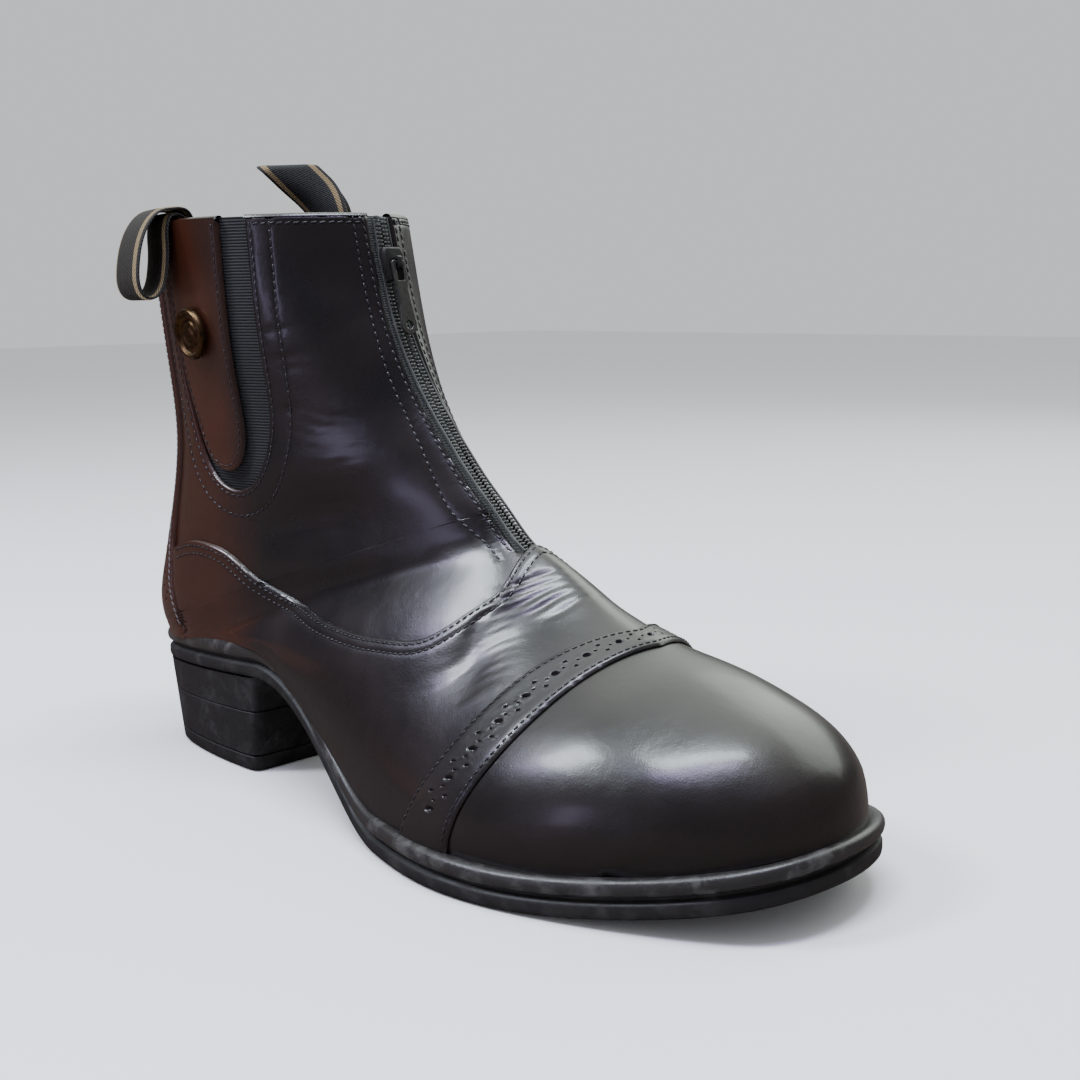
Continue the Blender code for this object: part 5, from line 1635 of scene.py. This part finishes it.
def band(name, middles, finish):
    """A strip of webbing with rounded edges and a flat layout: U across it, V along it in centimetres."""
    middles = np.array(middles)
    along = np.gradient(middles, axis=0)
    width = np.gradient(middles, axis=1)
    face = normed(np.cross(along, width))
    columns = middles.shape[1]
    centre = middles[:, columns // 2]
    run = run_along(centre)
    thick = np.full(columns, WEBBING / 2)
    thick[[0, -1]] *= 0.35
    points, places = [], []
    for i in range(len(middles)):
        for sign in (1, -1):
            order = range(columns) if sign > 0 else range(columns - 1, -1, -1)
            for k in order:
                points.append(middles[i, k] + sign * face[i, k] * thick[k])
                places.append((k / (columns - 1), run[i] * 100))
    size = 2 * columns
    faces = ring_faces(len(middles), size)
    ends = [(k, k + 1, size - k - 2, size - k - 1) for k in range(columns - 1)]
    last = (len(middles) - 1) * size
    faces += [face[::-1] for face in ends] + [tuple(k + last for k in face) for face in ends]
    piece = mesh_piece(name, points, faces, finish)
    layer = piece.data.uv_layers.new(name="Flat")
    index = np.zeros(len(piece.data.loops), int)
    piece.data.loops.foreach_get("vertex_index", index)
    layer.data.foreach_set("uv", np.array(places)[index].ravel())
    outwards(piece.data)
    piece.data.set_sharp_from_angle(angle=math.radians(55))
    return piece


# The outer loop's side view: metres out from the collar's face and up from its rim
FOLDED_LOOP = (
    (-0.0053, -0.0120),
    (-0.0046, -0.0030),
    (-0.0040, 0.0006),
    (-0.0020, 0.0020),
    (0.0008, 0.0018),
    (0.0025, -0.0012),
    (0.0029, -0.0080),
    (0.0036, -0.0160),
    (0.0055, -0.0220),
    (0.0085, -0.0245),
    (0.0115, -0.0238),
    (0.0131, -0.0210),
    (0.0133, -0.0150),
    (0.0120, -0.0080),
    (0.0090, -0.0012),
    (0.0045, 0.0030),
    (0.0000, 0.0039),
    (-0.0042, 0.0036),
    (-0.0062, 0.0008),
    (-0.0063, -0.0040),
    (-0.0069, -0.0120),
)

# The inner loop's foot to its top: metres out, up and back, degrees turned, how far it keeps to the collar's
# curve, and half the distance between its legs
STANDING_LOOP = (
    (-0.0056, -0.0120, 0.0000, 0, 1.0, 0.0009),
    (-0.0052, -0.0060, 0.0000, 0, 1.0, 0.0009),
    (-0.0048, 0.0000, 0.0000, 0, 1.0, 0.0009),
    (-0.0056, 0.0060, 0.0018, 10, 0.5, 0.0012),
    (-0.0072, 0.0115, 0.0055, 24, 0.1, 0.0017),
    (-0.0094, 0.0160, 0.0095, 36, 0.0, 0.0023),
    (-0.0118, 0.0195, 0.0130, 44, 0.0, 0.0026),
)


def pull_loops():
    """The two webbing loops: the outer one folded down outside, the inner one standing up."""
    places, out, _ = rim_columns(0.615, -1)
    path = smooth_path(FOLDED_LOOP, 110)
    rows = [places + step[0] * out + step[1] * np.array([0, 0, 1.0]) for step in path]
    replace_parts(band("loop_lateral", rows, WEBBING_OUTER), "pull_loop_lateral")
    places, out, across_loop = rim_columns(0.605, 1)
    middle = len(places) // 2
    back = np.cross(out[middle], (0, 0, 1.0))
    back *= -np.sign(back[0])
    width = normed(places[-1] - places[0])
    rows = []
    spreads = []
    for step in smooth_path([(row[1], *row) for row in STANDING_LOOP], 40)[:, 1:]:
        turned = Matrix.Rotation(math.radians(step[3]), 3, "Z") @ Vector(width)
        straight = places[middle] + across_loop[:, None] * np.array(turned)
        blend = min(max(step[4], 0), 1)
        row = blend * places + (1 - blend) * straight
        leg = blend * out + (1 - blend) * out[middle]
        rows.append(row + step[0] * leg + np.array([0, 0, step[1]]) + step[2] * back)
        spreads.append(step[5])
    rows = np.array(rows)
    along = np.gradient(rows, axis=0)
    face = normed(np.cross(along, np.gradient(rows, axis=1)))
    face *= np.sign((face[0, middle] * out[middle]).sum())
    spread = np.array(spreads)[:, None, None]
    outer = rows + face * spread
    inner = rows - face * spread
    tip = normed(along[-1])
    fold = []
    for turn in np.linspace(0, math.pi, 15)[1:-1]:
        fold.append(rows[-1] + spreads[-1] * (math.cos(turn) * face[-1] + math.sin(turn) * tip))
    whole = list(outer) + fold + list(inner[::-1])
    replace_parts(band("loop_medial", whole, WEBBING_INNER), "pull_loop_medial")


# Colours of the floor and of the sky, each for what is seen and for what is mirrored
FLOOR = (0.82, 0.82, 0.83)
FLOOR_REFLECTED = (0.055, 0.034, 0.026)
BACKDROP = (0.72, 0.73, 0.75)
SKY_LOW = (0.085, 0.072, 0.078)
SKY_HIGH = (2.05, 2.18, 2.05)
BRIGHT_CEILING = (-0.36, 0.45, 0.82)

# Lamps: the way to each from what it lights, the line along its width, the point it lights, how far off it
# stands, its width and height in metres, its power in watts and its colour
Light = namedtuple("Light", "name towards across aim away width height power colour")
LIGHTS = (
    Light("Ceiling window", (0.06, -0.10, 0.99), (0.48, 0.88, 0), (0.21, -0.01, 0.05), 1.3,
          1.00, 0.17, 21.0, (0.86, 0.97, 1.0)),
    Light("Ceiling window fringe", (0.13, -0.27, 0.95), (0.48, 0.88, 0), (0.21, -0.01, 0.05), 1.3,
          0.95, 0.13, 6.0, (0.60, 0.46, 1.0)),
    Light("Left window", (-0.42, -0.51, 0.74), (0.8, -0.6, 0), (0.15, -0.01, 0.07), 1.3,
          0.26, 0.36, 12.0, (0.86, 0.94, 1.0)),
    Light("Left window fringe", (-0.50, -0.59, 0.63), (0.8, -0.6, 0), (0.10, -0.01, 0.09), 1.3,
          0.24, 0.24, 2.0, (0.62, 0.52, 1.0)),
    Light("Low window", (-0.14, -0.98, 0.10), (1, 0, 0), (0.08, -0.02, 0.13), 1.2,
          0.14, 0.40, 0.8, (0.70, 0.62, 1.0)),
    Light("Far wall", (0.04, 0.86, 0.50), (1, 0, 0), (0.12, 0.0, 0.12), 1.4,
          1.20, 0.80, 6.5, (0.90, 0.97, 0.90)),
    Light("Warm card", (-0.88, -0.47, -0.04), (0.5, -0.87, 0), (-0.01, -0.03, 0.15), 0.8,
          0.16, 0.12, 0.03, (1.0, 0.40, 0.18)),
)


def stage():
    """A pale floor, a soft sky that is brighter above, window lights and a warm card low at the back left."""
    bpy.ops.mesh.primitive_plane_add(size=9.0, location=(0, 0, 0))
    floor = bpy.context.object
    floor.name = "floor"
    made, tree, bsdf = shader("Pale floor", FLOOR, 0.8)
    mirrored = node(tree, "ShaderNodeLightPath").outputs["Is Glossy Ray"]
    tree.links.new(mixed(tree, mirrored, (*FLOOR, 1), (*FLOOR_REFLECTED, 1)), bsdf.inputs["Base Color"])
    floor.data.materials.append(made)
    world = bpy.data.worlds.new("Studio")
    bpy.context.scene.world = world
    world.use_nodes = True
    tree = world.node_tree
    ground = tree.nodes["Background"]
    direction = node(tree, "ShaderNodeTexCoord").outputs["Generated"]
    facing = node(tree, "ShaderNodeVectorMath", [(0, direction), (1, BRIGHT_CEILING)],
                  operation="DOT_PRODUCT")
    ceiling = spread(tree, facing.outputs["Value"], 0.62, 0.96)
    sky = mixed(tree, ceiling, (*SKY_LOW, 1), (*SKY_HIGH, 1))
    mirrored = node(tree, "ShaderNodeLightPath").outputs["Is Glossy Ray"]
    tree.links.new(mixed(tree, mirrored, (*BACKDROP, 1), sky), ground.inputs["Color"])
    ground.inputs["Strength"].default_value = 1.0
    for light in LIGHTS:
        data = bpy.data.lights.new(light.name, "AREA")
        data.shape = "RECTANGLE"
        data.size = light.width
        data.size_y = light.height
        data.energy = light.power
        data.color = light.colour
        lamp = bpy.data.objects.new(light.name, data)
        bpy.context.scene.collection.objects.link(lamp)
        towards = Vector(light.towards).normalized()
        lamp.location = Vector(light.aim) + towards * light.away
        sideways = Vector(light.across) - Vector(light.across).dot(towards) * towards
        sideways.normalize()
        up = towards.cross(sideways)
        lamp.rotation_euler = Matrix((sideways, up, towards)).transposed().to_euler()
        lamp.visible_camera = False


# The photograph's view: angles in degrees, place in metres, focal length and middle in pixels
VIEW_TURN = 43.91
VIEW_TIP = 8.79
VIEW_ROLL = -0.64
VIEW_PLACE = (0.4884, -0.2972, 0.1592)
PHOTO_SIZE = 1080
FOCAL_PIXELS = 1479.9
PHOTO_MIDDLE = (584.9, 523.8)
SENSOR = 36.0


def camera():
    """The camera that stands where the photograph was taken."""
    turn, tip, roll = (math.radians(angle) for angle in (VIEW_TURN, VIEW_TIP, VIEW_ROLL))
    back = Vector((math.sin(turn) * math.cos(tip), -math.cos(turn) * math.cos(tip), math.sin(tip)))
    right = Vector((math.cos(turn), math.sin(turn), 0))
    up = back.cross(right)
    rolled_right = right * math.cos(roll) + up * math.sin(roll)
    rolled_up = up * math.cos(roll) - right * math.sin(roll)
    data = bpy.data.cameras.new("Camera")
    data.sensor_width = SENSOR
    data.lens = SENSOR * FOCAL_PIXELS / PHOTO_SIZE
    data.shift_x = -(PHOTO_MIDDLE[0] - PHOTO_SIZE / 2) / PHOTO_SIZE
    data.shift_y = (PHOTO_MIDDLE[1] - PHOTO_SIZE / 2) / PHOTO_SIZE
    data.clip_start = 0.01
    view = bpy.data.objects.new("Camera", data)
    bpy.context.scene.collection.objects.link(view)
    turned = Matrix((rolled_right, rolled_up, back)).transposed().to_4x4()
    turned.translation = Vector(VIEW_PLACE) - Vector(MIDDLE)
    view.matrix_world = turned
    bpy.context.scene.camera = view


camera()
stage()
stitched = stitch_rows()
quarters(stitched)
collar()
elastics(stitched)
sewn_panels(stitched)
for name, sewing in SEWINGS.items():
    stitches(name, stitched[sewing.rows], sewing)
zip_fastener()
bevelled("slider", "zip_slider", 0.00035, ZIP_METAL)
bevelled("puller", "zip_puller", 0.00030, PULLER_METAL, "puller")
button()
pull_loops()
sole()
